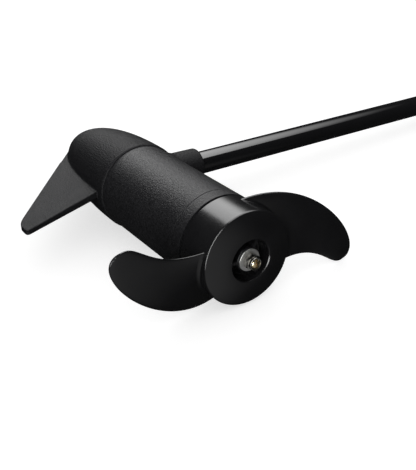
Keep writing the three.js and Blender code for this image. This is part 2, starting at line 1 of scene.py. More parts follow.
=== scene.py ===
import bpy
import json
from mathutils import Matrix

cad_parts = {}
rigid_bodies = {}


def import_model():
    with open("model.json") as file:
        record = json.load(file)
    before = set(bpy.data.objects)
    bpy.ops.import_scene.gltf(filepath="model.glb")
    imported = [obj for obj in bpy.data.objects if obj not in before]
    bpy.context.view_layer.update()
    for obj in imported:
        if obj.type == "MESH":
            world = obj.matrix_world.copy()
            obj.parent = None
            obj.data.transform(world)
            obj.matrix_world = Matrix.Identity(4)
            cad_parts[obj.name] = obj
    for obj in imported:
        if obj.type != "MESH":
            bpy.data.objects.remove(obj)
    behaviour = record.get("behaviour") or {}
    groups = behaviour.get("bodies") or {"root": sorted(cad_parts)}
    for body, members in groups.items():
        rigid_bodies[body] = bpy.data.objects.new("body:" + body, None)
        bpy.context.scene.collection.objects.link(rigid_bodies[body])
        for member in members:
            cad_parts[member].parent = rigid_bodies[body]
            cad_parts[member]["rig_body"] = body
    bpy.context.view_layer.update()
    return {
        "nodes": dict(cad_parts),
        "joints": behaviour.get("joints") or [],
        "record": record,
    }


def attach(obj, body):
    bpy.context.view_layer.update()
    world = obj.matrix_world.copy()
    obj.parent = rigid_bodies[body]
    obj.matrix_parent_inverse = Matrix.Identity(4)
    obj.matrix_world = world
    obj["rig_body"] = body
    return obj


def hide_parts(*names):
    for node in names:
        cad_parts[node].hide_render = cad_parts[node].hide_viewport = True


bl_info = {
    "name": "Trolling Motor Lower Unit",
    "version": (1, 0, 0),
    "blender": (4, 5, 0),
    "location": "3D View > Sidebar > Lower Unit",
    "description": "Builds the finished surfaces of a trolling motor's lower unit around its fixed frame",
    "category": "Object",
}

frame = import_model()

import json
import math

import bmesh
import bpy
from mathutils import Matrix, Vector

MM = 0.001
TAU = 2 * math.pi
ROUND = 176  # sides of the large turned pieces
SMALL = 72  # sides of the small turned pieces

# ------------------------------------------------------------------ the pod's own frame
# Pieces are drawn about the motor axis: +Y from the propeller to the nose, +X along the tube.

JOINTS = {joint["name"]: joint for joint in frame["joints"]}


def pod_matrix():
    """From the pod's own frame to the row's."""
    forward = Vector(JOINTS["rotor_spin"]["axis"]).normalized()
    up = Vector(JOINTS["brush_1_slide"]["axis"]).normalized()
    turn = Matrix((forward.cross(up), forward, up)).transposed().to_4x4()
    return Matrix.Translation(Vector(JOINTS["rotor_spin"]["pos_m"])) @ turn


POD = pod_matrix()
TO_POD = POD.inverted()


def pod_points(node):
    """A CAD node's corners in the pod's own frame."""
    return [TO_POD @ vertex.co for vertex in frame["nodes"][node].data.vertices]


def along(node, axis=1):
    """Where a CAD node starts and ends along one of the pod's axes."""
    values = [point[axis] for point in pod_points(node)]
    return min(values), max(values)


def radii(node, height=0.0, axis=1):
    """Smallest and largest distance of a CAD node's corners from a line along one of the pod's axes.
    The line passes through the motor axis, or for the tube's axis, through the tube's own height."""
    rest = [i for i in range(3) if i != axis]
    middle = [height if i == 1 else 0.0 for i in rest]
    values = [math.hypot(p[rest[0]] - middle[0], p[rest[1]] - middle[1]) for p in pod_points(node)]
    return min(values), max(values)


def rotor_matrix():
    """The pod's frame turned to the rotor's rest angle, which the drive pin shows."""
    far = [point for point in pod_points("drive_pin") if point.x > 0]
    x = sum(point.x for point in far)
    z = sum(point.z for point in far)
    return POD @ Matrix.Rotation(-math.atan2(z, x), 4, "Y")


ROTOR = rotor_matrix()
TUBE_Y = sum(along("column_tube")) / 2
BARREL_BORE, BARREL_RADIUS = radii("center_housing")
BARREL_START, BARREL_END = along("center_housing")
REAR_START, REAR_END = along("rear_housing")
TUBE_BORE, TUBE_RADIUS = radii("column_tube", TUBE_Y, axis=0)
TUBE_START, TUBE_END = along("column_tube", axis=0)
NOSE_TIP = along("nose_casting")[1]
SKEG_REACH = -along("nose_casting", axis=0)[0]
BOSS_END = along("nose_casting", axis=0)[1]


# ------------------------------------------------------------------ sizes and colours

def length(label, description, default):
    """A length property in metres."""
    return bpy.props.FloatProperty(
        name=label, description=description, default=default, min=0.0, unit="LENGTH", precision=5)


def colour(label, description, default):
    """A plain colour property."""
    return bpy.props.FloatVectorProperty(
        name=label, description=description, default=default, min=0.0, max=1.0, size=3, subtype="COLOR")


class CastingSizes(bpy.types.PropertyGroup):
    """Sizes of the nose casting and the end bell."""
    nose_radius: length("Nose radius", "Largest radius of the nose casting", 46.5 * MM)
    nose_full: length("Full radius at", "Where along the motor axis the nose starts to taper", 190 * MM)
    nose_fullness: bpy.props.FloatProperty(
        name="Nose fullness", description="Power of the nose's curve; a higher one is blunter", default=2.4)
    rim_round: length("Rim rounding", "Radius of the casting's rim", 2.4 * MM)
    skeg_root: length("Skeg root thickness", "Thickness of the skeg at the pod", 8 * MM)
    skeg_tip: length("Skeg tip thickness", "Thickness of the skeg at its tip", 5.2 * MM)
    boss_radius: length("Tube boss radius", "Outside radius of the boss that takes the tube", 17.9 * MM)
    boss_round: length("Tube boss rounding", "Rounding of the boss's outer edge", 2.2 * MM)
    voxel: length("Casting voxel", "Voxel size that the casting's blended skin is made with", 0.95 * MM)
    blend_passes: bpy.props.IntProperty(
        name="Blend passes", description="How far the skin flows together where the fin and boss join",
        default=5)


class PropellerSizes(bpy.types.PropertyGroup):
    """Sizes of the propeller."""
    hub_radius: length("Hub radius", "Outside radius of the hub", 45 * MM)
    hub_end: length("Hub length", "Distance from the disc's edge to the end of the hub", 37.9 * MM)
    hub_wall: length("Hub wall", "Wall thickness of the hub", 3.5 * MM)
    recess: length("Recess radius", "Radius of the recess around the nut", 19.8 * MM)
    crown: length("Disc crown", "How far the disc's face stands proud at the recess", 4.9 * MM)
    boss: length("Boss radius", "Radius of the boss under the washer", 11.5 * MM)
    helix_start: length("Helix start", "Where the blade lies along the axis at its zero angle", 10.3 * MM)
    helix_rise: length("Helix rise", "How far a blade moves along the axis in one radian", 12.85 * MM)
    blade_root: length("Blade root thickness", "Thickness of a blade at the hub", 6.5 * MM)
    blade_tip: length("Blade tip thickness", "Thickness of a blade near its tip", 3 * MM)
    blade_fillet: length("Blade fillet", "Radius of the fillet where a blade meets the hub", 1.3 * MM)
    blades: bpy.props.IntProperty(name="Blades", description="Number of blades", default=2, min=1)


class MotorSizes(bpy.types.PropertyGroup):
    """Sizes and counts of what repeats inside the motor."""
    slots: bpy.props.IntProperty(name="Slots", description="Slots in the armature core", default=12, min=3)
    plates: bpy.props.IntProperty(name="Core plates", description="Laminations in the core", default=60,
                                  min=2)
    slot_bottom: length("Slot bottom", "Radius of the bottom of a slot", 17 * MM)
    slot_width: length("Slot width", "Width of a slot below its mouth", 5 * MM)
    slot_mouth: length("Slot mouth", "Width of a slot where it opens", 2.8 * MM)
    strands: bpy.props.IntProperty(name="Strands", description="Wires drawn in each coil", default=5, min=1)
    wire: length("Wire radius", "Radius of the enamelled wire", 0.55 * MM)
    reach: bpy.props.IntProperty(name="Coil reach", description="How many slots a coil spans", default=5,
                                 min=1)
    balls: bpy.props.IntProperty(name="Balls", description="Balls in the bearing", default=8, min=3)
    ball: length("Ball radius", "Radius of a bearing ball", 2.5 * MM)
    spring_turns: bpy.props.FloatProperty(name="Spring turns", description="Turns of a brush spring",
                                          default=5.0)
    spring_wire: length("Spring wire radius", "Radius of a brush spring's wire", 0.3 * MM)


class FinishColours(bpy.types.PropertyGroup):
    """Colours of the finishes."""
    coat: colour("Powder coat", "Textured black coat of the castings and the barrel",
                 (0.0026, 0.0026, 0.0029))
    gloss: colour("Gloss black", "Gloss black of the column tube", (0.002, 0.002, 0.0022))
    nylon: colour("Propeller nylon", "Black moulded nylon of the propeller", (0.0022, 0.0022, 0.0024))
    stainless: colour("Stainless", "Bright stainless steel of the nut and the washer", (0.56, 0.56, 0.55))
    # Painted shade: the nut's colour is the washer's stainless painted darker, standing in for the dark
    # reflections in its hex facets.
    nut: colour("Nut", "Darker stainless steel of the lock nut", (0.22, 0.215, 0.20))
    shaft: colour("Shaft", "Warm plated steel of the shaft", (0.60, 0.49, 0.31))


# ------------------------------------------------------------------ mesh helpers

def as_mesh(name, points, faces):
    """A smooth mesh from points and faces, with its faces pointing out."""
    mesh = bpy.data.meshes.new(name)
    mesh.from_pydata([tuple(point) for point in points], [], faces)
    return outward(mesh)


def outward(mesh):
    """Merges doubles, turns the faces out and shades them smooth."""
    work = bmesh.new()
    work.from_mesh(mesh)
    bmesh.ops.remove_doubles(work, verts=work.verts, dist=1e-6)
    bmesh.ops.dissolve_degenerate(work, edges=work.edges, dist=1e-7)
    bmesh.ops.recalc_face_normals(work, faces=work.faces)
    for face in work.faces:
        face.smooth = True
    work.to_mesh(mesh)
    work.free()
    return mesh


def eased(outline, rounding, closed=True, steps=4):
    """Rounds the corners of a flat outline. A corner may carry its own rounding as a third number.
    Each arc has a point just outside it, which keeps the flats beside it shaded flat."""
    count = len(outline)
    result = []
    for i, corner in enumerate(outline):
        here = Vector(corner[:2])
        own = corner[2] if len(corner) > 2 else rounding
        if own <= 0 or (not closed and i in (0, count - 1)):
            result.append(tuple(here))
            continue
        before = Vector(outline[i - 1][:2]) - here
        after = Vector(outline[(i + 1) % count][:2]) - here
        angle = before.angle(after)
        if angle > math.radians(172):
            result.append(tuple(here))
            continue
        cut = min(own / math.tan(angle / 2), 0.42 * before.length, 0.42 * after.length)
        radius = cut * math.tan(angle / 2)
        start, end = here + before.normalized() * cut, here + after.normalized() * cut
        centre = here + (before.normalized() +
                         after.normalized()).normalized() * (radius / math.sin(angle / 2))
        guard = 0.12 * cut
        result.append(tuple(start + before.normalized() * guard))
        first, last = start - centre, end - centre
        sweep = first.angle_signed(last) if first.length and last.length else 0.0
        for step in range(steps + 1):
            turn = -sweep * step / steps
            spun = Vector((first.x * math.cos(turn) - first.y * math.sin(turn),
                           first.x * math.sin(turn) + first.y * math.cos(turn)))
            result.append(tuple(centre + spun))
        result.append(tuple(end + after.normalized() * guard))
    return result


def revolve(name, outline, sides=ROUND, closed=True):
    """(radius, y) points turned about the motor axis. An open outline starts and ends on the axis."""
    points, faces, rows = [], [], []
    for radius, y in outline:
        if radius < 1e-7:
            rows.append([len(points)] * sides)
            points.append((0.0, y, 0.0))
            continue
        rows.append(list(range(len(points), len(points) + sides)))
        for i in range(sides):
            angle = TAU * i / sides
            points.append((radius * math.cos(angle), y, radius * math.sin(angle)))
    pairs = list(zip(rows, rows[1:] + ([rows[0]] if closed else [])))
    for lower, upper in pairs:
        for i in range(sides):
            k = (i + 1) % sides
            face = list(dict.fromkeys((lower[i], lower[k], upper[k], upper[i])))
            if len(face) > 2:
                faces.append(face)
    return as_mesh(name, points, faces)


def loft(name, rings):
    """A closed skin through rings of points, closed at both ends."""
    count = len(rings[0])
    points = [point for ring in rings for point in ring]
    faces = []
    for row in range(len(rings) - 1):
        for i in range(count):
            k = (i + 1) % count
            faces.append((row * count + i, row * count + k, (row + 1) * count + k, (row + 1) * count + i))
    faces.append(tuple(range(count)))
    faces.append(tuple(range(len(points) - count, len(points))))
    return as_mesh(name, points, faces)


def block(name, size, centre):
    """A box, for joining and cutting."""
    work = bmesh.new()
    bmesh.ops.create_cube(work, size=1.0)
    mesh = bpy.data.meshes.new(name)
    work.to_mesh(mesh)
    work.free()
    mesh.transform(Matrix.Translation(centre) @ Matrix.Diagonal((*size, 1.0)))
    return mesh


def tubewise(mesh):
    """Lays a piece drawn along the motor axis along the column tube instead."""
    mesh.transform(Matrix.Translation((0, TUBE_Y, 0)) @ Matrix.Rotation(-math.pi / 2, 4, "Z"))
    return mesh


def spun(mesh, degrees, shift=(0, 0, 0)):
    """Moves a mesh, then carries it round the motor axis."""
    mesh.transform(Matrix.Rotation(math.radians(degrees), 4, "Y") @ Matrix.Translation(shift))
    return mesh


def evaluated(target):
    """The target object's mesh with its modifiers applied; the object and its own mesh are removed."""
    bpy.context.view_layer.update()
    graph = bpy.context.evaluated_depsgraph_get()
    result = bpy.data.meshes.new_from_object(target.evaluated_get(graph))
    own = target.data
    bpy.data.objects.remove(target)
    if own.users == 0:
        bpy.data.meshes.remove(own)
    return result


def scratch(mesh):
    """A temporary object for modifiers to work on."""
    target = bpy.data.objects.new(mesh.name, mesh)
    bpy.context.scene.collection.objects.link(target)
    return target


def combined(mesh, tools, operation):
    """Joins tools to a closed mesh, or cuts them from it."""
    for tool in tools:
        target, helper = scratch(mesh), scratch(tool)
        modifier = target.modifiers.new("Combine", "BOOLEAN")
        modifier.operation = operation
        modifier.solver = "MANIFOLD"
        modifier.object = helper
        name = mesh.name
        mesh = evaluated(target)
        mesh.name = name
        bpy.data.objects.remove(helper)
        if not mesh.polygons:
            raise RuntimeError(f"{operation} left nothing of {name}")
    return mesh


def joined(mesh, *tools):
    """One closed body of several that overlap."""
    return combined(mesh, tools, "UNION")


def cut(mesh, *tools):
    """A closed body with tools cut from it."""
    return combined(mesh, tools, "DIFFERENCE")


def merged(name, meshes):
    """Several meshes in one, each left as it is."""
    work = bmesh.new()
    for mesh in meshes:
        work.from_mesh(mesh)
    result = bpy.data.meshes.new(name)
    work.to_mesh(result)
    work.free()
    return result


def crisp(mesh, degrees=32):
    """Smooth faces with sharp edges where the surface turns hard."""
    for polygon in mesh.polygons:
        polygon.use_smooth = True
    mesh.set_sharp_from_angle(angle=math.radians(degrees))
    return mesh


def piece(mesh, node, material, place=POD):
    """Puts a finished mesh in the row frame, on its node's body, in place of the CAD node."""
    mesh.transform(place)
    mesh.materials.clear()
    mesh.materials.append(material)
    mesh.polygons.foreach_set("material_index", [0] * len(mesh.polygons))
    target = bpy.data.objects.new(f"finished_{node}", mesh)
    bpy.context.scene.collection.objects.link(target)
    body = frame["nodes"][node]["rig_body"]
    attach(target, body)
    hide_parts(node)
    return target


SLOTS = {part["node"]: part["material_slot"] for part in frame["record"]["subparts"]}

BOLT_CIRCLE, BOLT_HOLE = 35.8 * MM, 2.8 * MM
WIRE_HOLE, WIRE_HOLE_PLACE = 3.5 * MM, (-13 * MM, 0, 21 * MM)
SCREW_CIRCLE, SCREW_HOLE = 27.5 * MM, 1.8 * MM
O_RING_SEAT = 39.3 * MM
BRUSH_ROOM = 31.5 * MM
BULKHEAD_START, BULKHEAD_END = 189 * MM, 199 * MM
GAP = 0.3 * MM
GROOVE_WIDTH, GROOVE_DEPTH = 2 * MM, 3.2 * MM


# ------------------------------------------------------------------ geometry trees

def new_tree(name, inputs):
    """An empty geometry tree with named inputs, as (tree, input node, end of the tree). What reaches
    its end is made real and takes the tree's finish."""
    tree = bpy.data.node_groups.new(name, "GeometryNodeTree")
    tree.interface.new_socket(name="Geometry", in_out="OUTPUT", socket_type="NodeSocketGeometry")
    for label, kind, default in (*inputs, ("Finish", "NodeSocketMaterial", None)):
        made = tree.interface.new_socket(name=label, in_out="INPUT", socket_type=kind)
        if default is not None:
            made.default_value = default
    start = tree.nodes.new("NodeGroupInput")
    real = tree.nodes.new("GeometryNodeRealizeInstances")
    coat = tree.nodes.new("GeometryNodeSetMaterial")
    out = tree.nodes.new("NodeGroupOutput")
    tree.links.new(real.outputs["Geometry"], coat.inputs["Geometry"])
    tree.links.new(start.outputs["Finish"], coat.inputs["Material"])
    tree.links.new(coat.outputs["Geometry"], out.inputs["Geometry"])
    return tree, start, real.inputs["Geometry"]


def repeat_tree():
    """Copies a piece in even steps, each turned further about the motor axis."""
    tree, start, end = new_tree("Repeat", [
        ("Piece", "NodeSocketObject", None), ("Count", "NodeSocketInt", 1),
        ("Step", "NodeSocketVector", (0, 0, 0)), ("Turn", "NodeSocketFloat", 0.0)])
    link = tree.links.new
    line = tree.nodes.new("GeometryNodeMeshLine")
    source = tree.nodes.new("GeometryNodeObjectInfo")
    copies = tree.nodes.new("GeometryNodeInstanceOnPoints")
    index = tree.nodes.new("GeometryNodeInputIndex")
    turn = tree.nodes.new("ShaderNodeMath")
    turn.operation = "MULTIPLY"
    about = tree.nodes.new("ShaderNodeCombineXYZ")
    link(start.outputs["Piece"], source.inputs["Object"])
    link(start.outputs["Count"], line.inputs["Count"])
    link(start.outputs["Step"], line.inputs["Offset"])
    link(index.outputs["Index"], turn.inputs[0])
    link(start.outputs["Turn"], turn.inputs[1])
    link(turn.outputs["Value"], about.inputs["Y"])
    link(line.outputs["Mesh"], copies.inputs["Points"])
    link(source.outputs["Geometry"], copies.inputs["Instance"])
    link(about.outputs["Vector"], copies.inputs["Rotation"])
    link(copies.outputs["Instances"], end)
    return tree


def wire_tree():
    """A round wire along every strand of a path."""
    tree, start, end = new_tree("Wire", [
        ("Path", "NodeSocketObject", None), ("Radius", "NodeSocketFloat", 0.001),
        ("Sides", "NodeSocketInt", 8)])
    link = tree.links.new
    source = tree.nodes.new("GeometryNodeObjectInfo")
    section = tree.nodes.new("GeometryNodeCurvePrimitiveCircle")
    sweep = tree.nodes.new("GeometryNodeCurveToMesh")
    sweep.inputs["Fill Caps"].default_value = True
    link(start.outputs["Path"], source.inputs["Object"])
    link(start.outputs["Sides"], section.inputs["Resolution"])
    link(start.outputs["Radius"], section.inputs["Radius"])
    link(source.outputs["Geometry"], sweep.inputs["Curve"])
    link(section.outputs["Curve"], sweep.inputs["Profile Curve"])
    link(sweep.outputs["Mesh"], end)
    return tree


def coil_tree():
    """A coil spring that stands along Z."""
    tree, start, end = new_tree("Coil", [
        ("Radius", "NodeSocketFloat", 0.002), ("Height", "NodeSocketFloat", 0.005),
        ("Turns", "NodeSocketFloat", 4.0), ("Wire", "NodeSocketFloat", 0.0003)])
    link = tree.links.new
    path = tree.nodes.new("GeometryNodeCurveSpiral")
    path.inputs["Resolution"].default_value = 28
    section = tree.nodes.new("GeometryNodeCurvePrimitiveCircle")
    section.inputs["Resolution"].default_value = 10
    sweep = tree.nodes.new("GeometryNodeCurveToMesh")
    sweep.inputs["Fill Caps"].default_value = True
    link(start.outputs["Radius"], path.inputs["Start Radius"])
    link(start.outputs["Radius"], path.inputs["End Radius"])
    link(start.outputs["Height"], path.inputs["Height"])
    link(start.outputs["Turns"], path.inputs["Rotations"])
    link(start.outputs["Wire"], section.inputs["Radius"])
    link(path.outputs["Curve"], sweep.inputs["Curve"])
    link(section.outputs["Curve"], sweep.inputs["Profile Curve"])
    link(sweep.outputs["Mesh"], end)
    return tree


TREES = {}


def grow(kind, **values):
    """Evaluates a geometry tree with its inputs set by name, and returns the plain mesh."""
    if kind not in TREES:
        TREES[kind] = {"Repeat": repeat_tree, "Wire": wire_tree, "Coil": coil_tree}[kind]()
    tree = TREES[kind]
    target = scratch(bpy.data.meshes.new(kind))
    modifier = target.modifiers.new("Grow", "NODES")
    modifier.node_group = tree
    sockets = {item.name: item.identifier for item in tree.interface.items_tree if item.in_out == "INPUT"}
    for name, value in values.items():
        modifier[sockets[name]] = value
    mesh = evaluated(target)
    if not mesh.polygons:
        raise RuntimeError(f"the {kind} tree made nothing")
    return mesh


def repeated(mesh, count, material, step=(0, 0, 0), turn=0.0):
    """A mesh copied in even steps and turns by the Repeat tree."""
    source = scratch(mesh)
    result = grow("Repeat", Piece=source, Count=count, Step=step, Turn=turn, Finish=material)
    bpy.data.objects.remove(source)
    return result


def wires(strands, radius, sides, material, closed=False):
    """Round wires along lists of points, by the Wire tree."""
    data = bpy.data.curves.new("path", "CURVE")
    data.dimensions = "3D"
    for points in strands:
        spline = data.splines.new("POLY")
        spline.points.add(len(points) - 1)
        for target, point in zip(spline.points, points):
            target.co = (*point, 1.0)
        spline.use_cyclic_u = closed
    path = scratch(data)
    result = grow("Wire", Path=path, Radius=radius, Sides=sides, Finish=material)
    bpy.data.objects.remove(path)
    return outward(result)


# ------------------------------------------------------------------ shader groups

def socket_value(node, **values):
    """Sets a node's inputs by name, with underscores for spaces."""
    for name, value in values.items():
        node.inputs[name.replace("_", " ")].default_value = value


def new_group(name, inputs, outputs):
    """An empty shader group with named sockets, as (tree, input node, output node)."""
    tree = bpy.data.node_groups.new(name, "ShaderNodeTree")
    for label, kind, default in inputs:
        made = tree.interface.new_socket(name=label, in_out="INPUT", socket_type=kind)
        made.default_value = default
    for label, kind in outputs:
        tree.interface.new_socket(name=label, in_out="OUTPUT", socket_type=kind)
    return tree, tree.nodes.new("NodeGroupInput"), tree.nodes.new("NodeGroupOutput")


def mottle_group():
    """Two colours and two roughnesses drifting into each other over the surface."""
    tree, start, end = new_group(
        "Mottle",
        [("Light", "NodeSocketColor", (1, 1, 1, 1)), ("Dark", "NodeSocketColor", (0, 0, 0, 1)),
         ("Smooth", "NodeSocketFloat", 0.3), ("Rough", "NodeSocketFloat", 0.5),
         ("Scale", "NodeSocketFloat", 60.0)],
        [("Color", "NodeSocketColor"), ("Roughness", "NodeSocketFloat")])
    link = tree.links.new
    place = tree.nodes.new("ShaderNodeTexCoord")
    noise = tree.nodes.new("ShaderNodeTexNoise")
    socket_value(noise, Detail=5.0, Roughness=0.6)
    spread = tree.nodes.new("ShaderNodeMapRange")
    socket_value(spread, From_Min=0.35, From_Max=0.65)
    tint = tree.nodes.new("ShaderNodeMix")
    tint.data_type = "RGBA"
    level = tree.nodes.new("ShaderNodeMapRange")
    link(place.outputs["Object"], noise.inputs["Vector"])
    link(start.outputs["Scale"], noise.inputs["Scale"])
    link(noise.outputs["Fac"], spread.inputs["Value"])
    link(spread.outputs["Result"], tint.inputs["Factor"])
    link(start.outputs["Dark"], tint.inputs["A"])
    link(start.outputs["Light"], tint.inputs["B"])
    link(spread.outputs["Result"], level.inputs["Value"])
    link(start.outputs["Smooth"], level.inputs["To Min"])
    link(start.outputs["Rough"], level.inputs["To Max"])
    link(tint.outputs["Result"], end.inputs["Color"])
    link(level.outputs["Result"], end.inputs["Roughness"])
    return tree


def grain_group():
    """Fine raised grain over a slow ripple, as a height."""
    tree, start, end = new_group(
        "Grain",
        [("Grain Scale", "NodeSocketFloat", 1500.0), ("Ripple Scale", "NodeSocketFloat", 90.0),
         ("Ripple", "NodeSocketFloat", 0.3), ("Stretch", "NodeSocketVector", (1.0, 1.0, 1.0))],
        [("Height", "NodeSocketFloat")])
    link = tree.links.new
    place = tree.nodes.new("ShaderNodeTexCoord")
    stretch = tree.nodes.new("ShaderNodeVectorMath")
    stretch.operation = "MULTIPLY"
    grain = tree.nodes.new("ShaderNodeTexNoise")
    socket_value(grain, Detail=3.0, Roughness=0.55)
    ripple = tree.nodes.new("ShaderNodeTexNoise")
    socket_value(ripple, Detail=2.0)
    weigh = tree.nodes.new("ShaderNodeMath")
    weigh.operation = "MULTIPLY_ADD"
    link(place.outputs["Object"], stretch.inputs[0])
    link(start.outputs["Stretch"], stretch.inputs[1])
    link(stretch.outputs["Vector"], grain.inputs["Vector"])
    link(stretch.outputs["Vector"], ripple.inputs["Vector"])
    link(start.outputs["Grain Scale"], grain.inputs["Scale"])
    link(start.outputs["Ripple Scale"], ripple.inputs["Scale"])
    link(ripple.outputs["Fac"], weigh.inputs[0])
    link(start.outputs["Ripple"], weigh.inputs[1])
    link(grain.outputs["Fac"], weigh.inputs[2])
    link(weigh.outputs["Value"], end.inputs["Height"])
    return tree


GROUPS = {}


def group(name):
    """One of the two shared shader groups, built the first time it is asked for."""
    if name not in GROUPS:
        GROUPS[name] = {"Mottle": mottle_group, "Grain": grain_group}[name]()
    return GROUPS[name]


def finish(name, tone, lift=1.6, smooth=0.3, rough=0.45, mottle=60.0, grain=1500.0, ripple=0.3,
           depth=0.00002, stretch=(1, 1, 1), metallic=0.0, **sockets):
    """A procedural finish: mottled colour and roughness, with fine grain in its normal."""
    material = bpy.data.materials.new(name)
    material.use_nodes = True
    tree = material.node_tree
    shader = tree.nodes["Principled BSDF"]
    link = tree.links.new
    tint = tree.nodes.new("ShaderNodeGroup")
    tint.node_tree = group("Mottle")
    socket_value(tint, Light=(*[min(1.0, c * lift) for c in tone], 1), Dark=(*tone, 1),
                 Smooth=smooth, Rough=rough, Scale=mottle)
    texture = tree.nodes.new("ShaderNodeGroup")
    texture.node_tree = group("Grain")
    socket_value(texture, Grain_Scale=grain, Ripple=ripple, Stretch=stretch)
    bump = tree.nodes.new("ShaderNodeBump")
    bump.inputs["Distance"].default_value = depth
    link(tint.outputs["Color"], shader.inputs["Base Color"])
    link(tint.outputs["Roughness"], shader.inputs["Roughness"])
    link(texture.outputs["Height"], bump.inputs["Height"])
    link(bump.outputs["Normal"], shader.inputs["Normal"])
    shader.inputs["Metallic"].default_value = metallic
    socket_value(shader, **sockets)
    return material


MATERIALS = {}


def recipes(tints):
    """What each finish is made of, by material slot. Depths are in metres."""
    return {
        "cast_coat": dict(name="powder_coat_casting", tone=tints.coat, lift=2.0, smooth=0.42, rough=0.54,
            mottle=500, grain=620, ripple=0.02, depth=0.0008, Specular_IOR_Level=0.07),
        "barrel_coat": dict(name="powder_coat_barrel", tone=tints.coat, lift=2.3, smooth=0.36, rough=0.52,
            mottle=500, grain=700, ripple=0.02, depth=0.0006, Specular_IOR_Level=0.17),
        "column_gloss": dict(name="gloss_black_tube", tone=tints.gloss, lift=1.3, smooth=0.06, rough=0.1,
            mottle=12, grain=400, ripple=1.0, depth=0.000004, Specular_IOR_Level=0.62),
        "propeller_plastic": dict(name="black_nylon", tone=tints.nylon, lift=1.3, smooth=0.18, rough=0.24,
            mottle=30, grain=600, ripple=1.0, depth=0.000006, Specular_IOR_Level=0.36),
        "stainless": dict(name="stainless", tone=tints.stainless, lift=1.15, smooth=0.3, rough=0.42,
            mottle=300, grain=2200, ripple=0.2, depth=0.00003, metallic=1.0),
        # Painted shade: the lock nut takes stainless with a darker tone than the washer, for the dark
        # reflections in its facets.
        "nut": dict(name="nut", tone=tints.nut, lift=1.3, smooth=0.12, rough=0.22, mottle=300, grain=1500,
            ripple=0.2, depth=0.00002, metallic=1.0),
        "shaft_steel": dict(name="shaft_steel", tone=tints.shaft, lift=1.2, smooth=0.2, rough=0.34,
            mottle=200, grain=1800, ripple=0.2, depth=0.00002, metallic=1.0),
        "bearing_steel": dict(name="bearing_steel", tone=(0.5, 0.51, 0.53), lift=1.1, smooth=0.1,
            rough=0.2, mottle=200, grain=900, ripple=0.1, depth=0.000004, metallic=1.0),
        "laminations": dict(name="lamination_steel", tone=(0.2, 0.2, 0.22), lift=1.3, smooth=0.35,
            rough=0.5, mottle=120, grain=600, ripple=0.1, depth=0.00006, stretch=(0.05, 3, 0.05),
            metallic=0.9),
        "ferrite": dict(name="ferrite", tone=(0.03, 0.03, 0.033), lift=1.6, smooth=0.6, rough=0.8,
            mottle=90, grain=1400, ripple=0.5, depth=0.00006),
        "copper": dict(name="enamelled_copper", tone=(0.55, 0.19, 0.07), lift=1.3, smooth=0.2, rough=0.35,
            mottle=150, grain=500, ripple=0.2, depth=0.00008, stretch=(1, 0.15, 1), metallic=0.9),
        "sintered_bronze": dict(name="sintered_bronze", tone=(0.42, 0.27, 0.11), lift=1.3, smooth=0.4,
            rough=0.6, mottle=200, grain=1800, ripple=0.3, depth=0.00005, metallic=0.9),
        "brass": dict(name="brass", tone=(0.62, 0.42, 0.15), lift=1.15, smooth=0.2, rough=0.35,
            mottle=150, grain=1200, ripple=0.2, depth=0.00002, metallic=1.0),
        "carbon": dict(name="brush_carbon", tone=(0.02, 0.02, 0.022), lift=1.8, smooth=0.5, rough=0.7,
            mottle=300, grain=2400, ripple=0.2, depth=0.00004),
        "seal_rubber": dict(name="seal_rubber", tone=(0.012, 0.012, 0.012), lift=1.5, smooth=0.5,
            rough=0.65, mottle=120, grain=900, ripple=0.5, depth=0.00004),
        "fibre_board": dict(name="fibre_board", tone=(0.26, 0.11, 0.04), lift=1.5, smooth=0.5, rough=0.7,
            mottle=90, grain=700, ripple=0.3, depth=0.00005, stretch=(1, 6, 1)),
        "red_sleeve": dict(name="red_sleeve", tone=(0.37, 0.012, 0.012), lift=1.2, smooth=0.35, rough=0.5,
            mottle=60, grain=500, ripple=0.5, depth=0.00003),
        "black_sleeve": dict(name="black_sleeve", tone=(0.01, 0.01, 0.01), lift=1.4, smooth=0.35,
            rough=0.5, mottle=60, grain=500, ripple=0.5, depth=0.00003),
    }


def material_for(slot):
    """The finish of a material slot, made once."""
    if slot not in MATERIALS:
        MATERIALS[slot] = finish(**recipes(bpy.context.scene.lower_unit_colours)[slot])
    return MATERIALS[slot]


# ------------------------------------------------------------------ nose casting

def nose_radius(y, sizes):
    """Radius of the nose casting's skin along the motor axis."""
    share = min(1.0, max(0.0, (y - sizes.nose_full) / (NOSE_TIP - sizes.nose_full)))
    return sizes.nose_radius * math.sqrt(1 - share ** sizes.nose_fullness)


def nose_outline(start, inset, sizes, steps):
    """(radius, y) points from start to the tip, closer together towards it."""
    last = NOSE_TIP - 1.5 * inset
    places = [start + (last - start) * math.sin(i / steps * math.pi / 2) for i in range(steps)]
    points = [(nose_radius(y, sizes) - inset, y) for y in places]
    return [point for point in points if point[0] > 0] + [(0.0, last)]


def bend(first, middle, last, steps=8):
    """A curve from first to last that bends towards middle."""
    result = []
    for i in range(steps + 1):
        t = i / steps
        weights = ((1 - t) ** 2, 2 * t * (1 - t), t * t)
        result.append(tuple(sum(w * p[k] for w, p in zip(weights, (first, middle, last))) for k in (0, 1)))
    return result


def skeg_outline():
    """The fin's outline in the plane of the tube."""
    reach = -SKEG_REACH
    front = bend((-131 * MM, 186.2 * MM), (reach, 175.5 * MM), (reach, 167 * MM))
    heel = bend((reach, 161 * MM), (reach, 155.9 * MM), (-134 * MM, 158.4 * MM))
    return [(-12 * MM, 300 * MM), (-19.5 * MM, 326 * MM), *front, *heel, (-30 * MM, 205 * MM)]


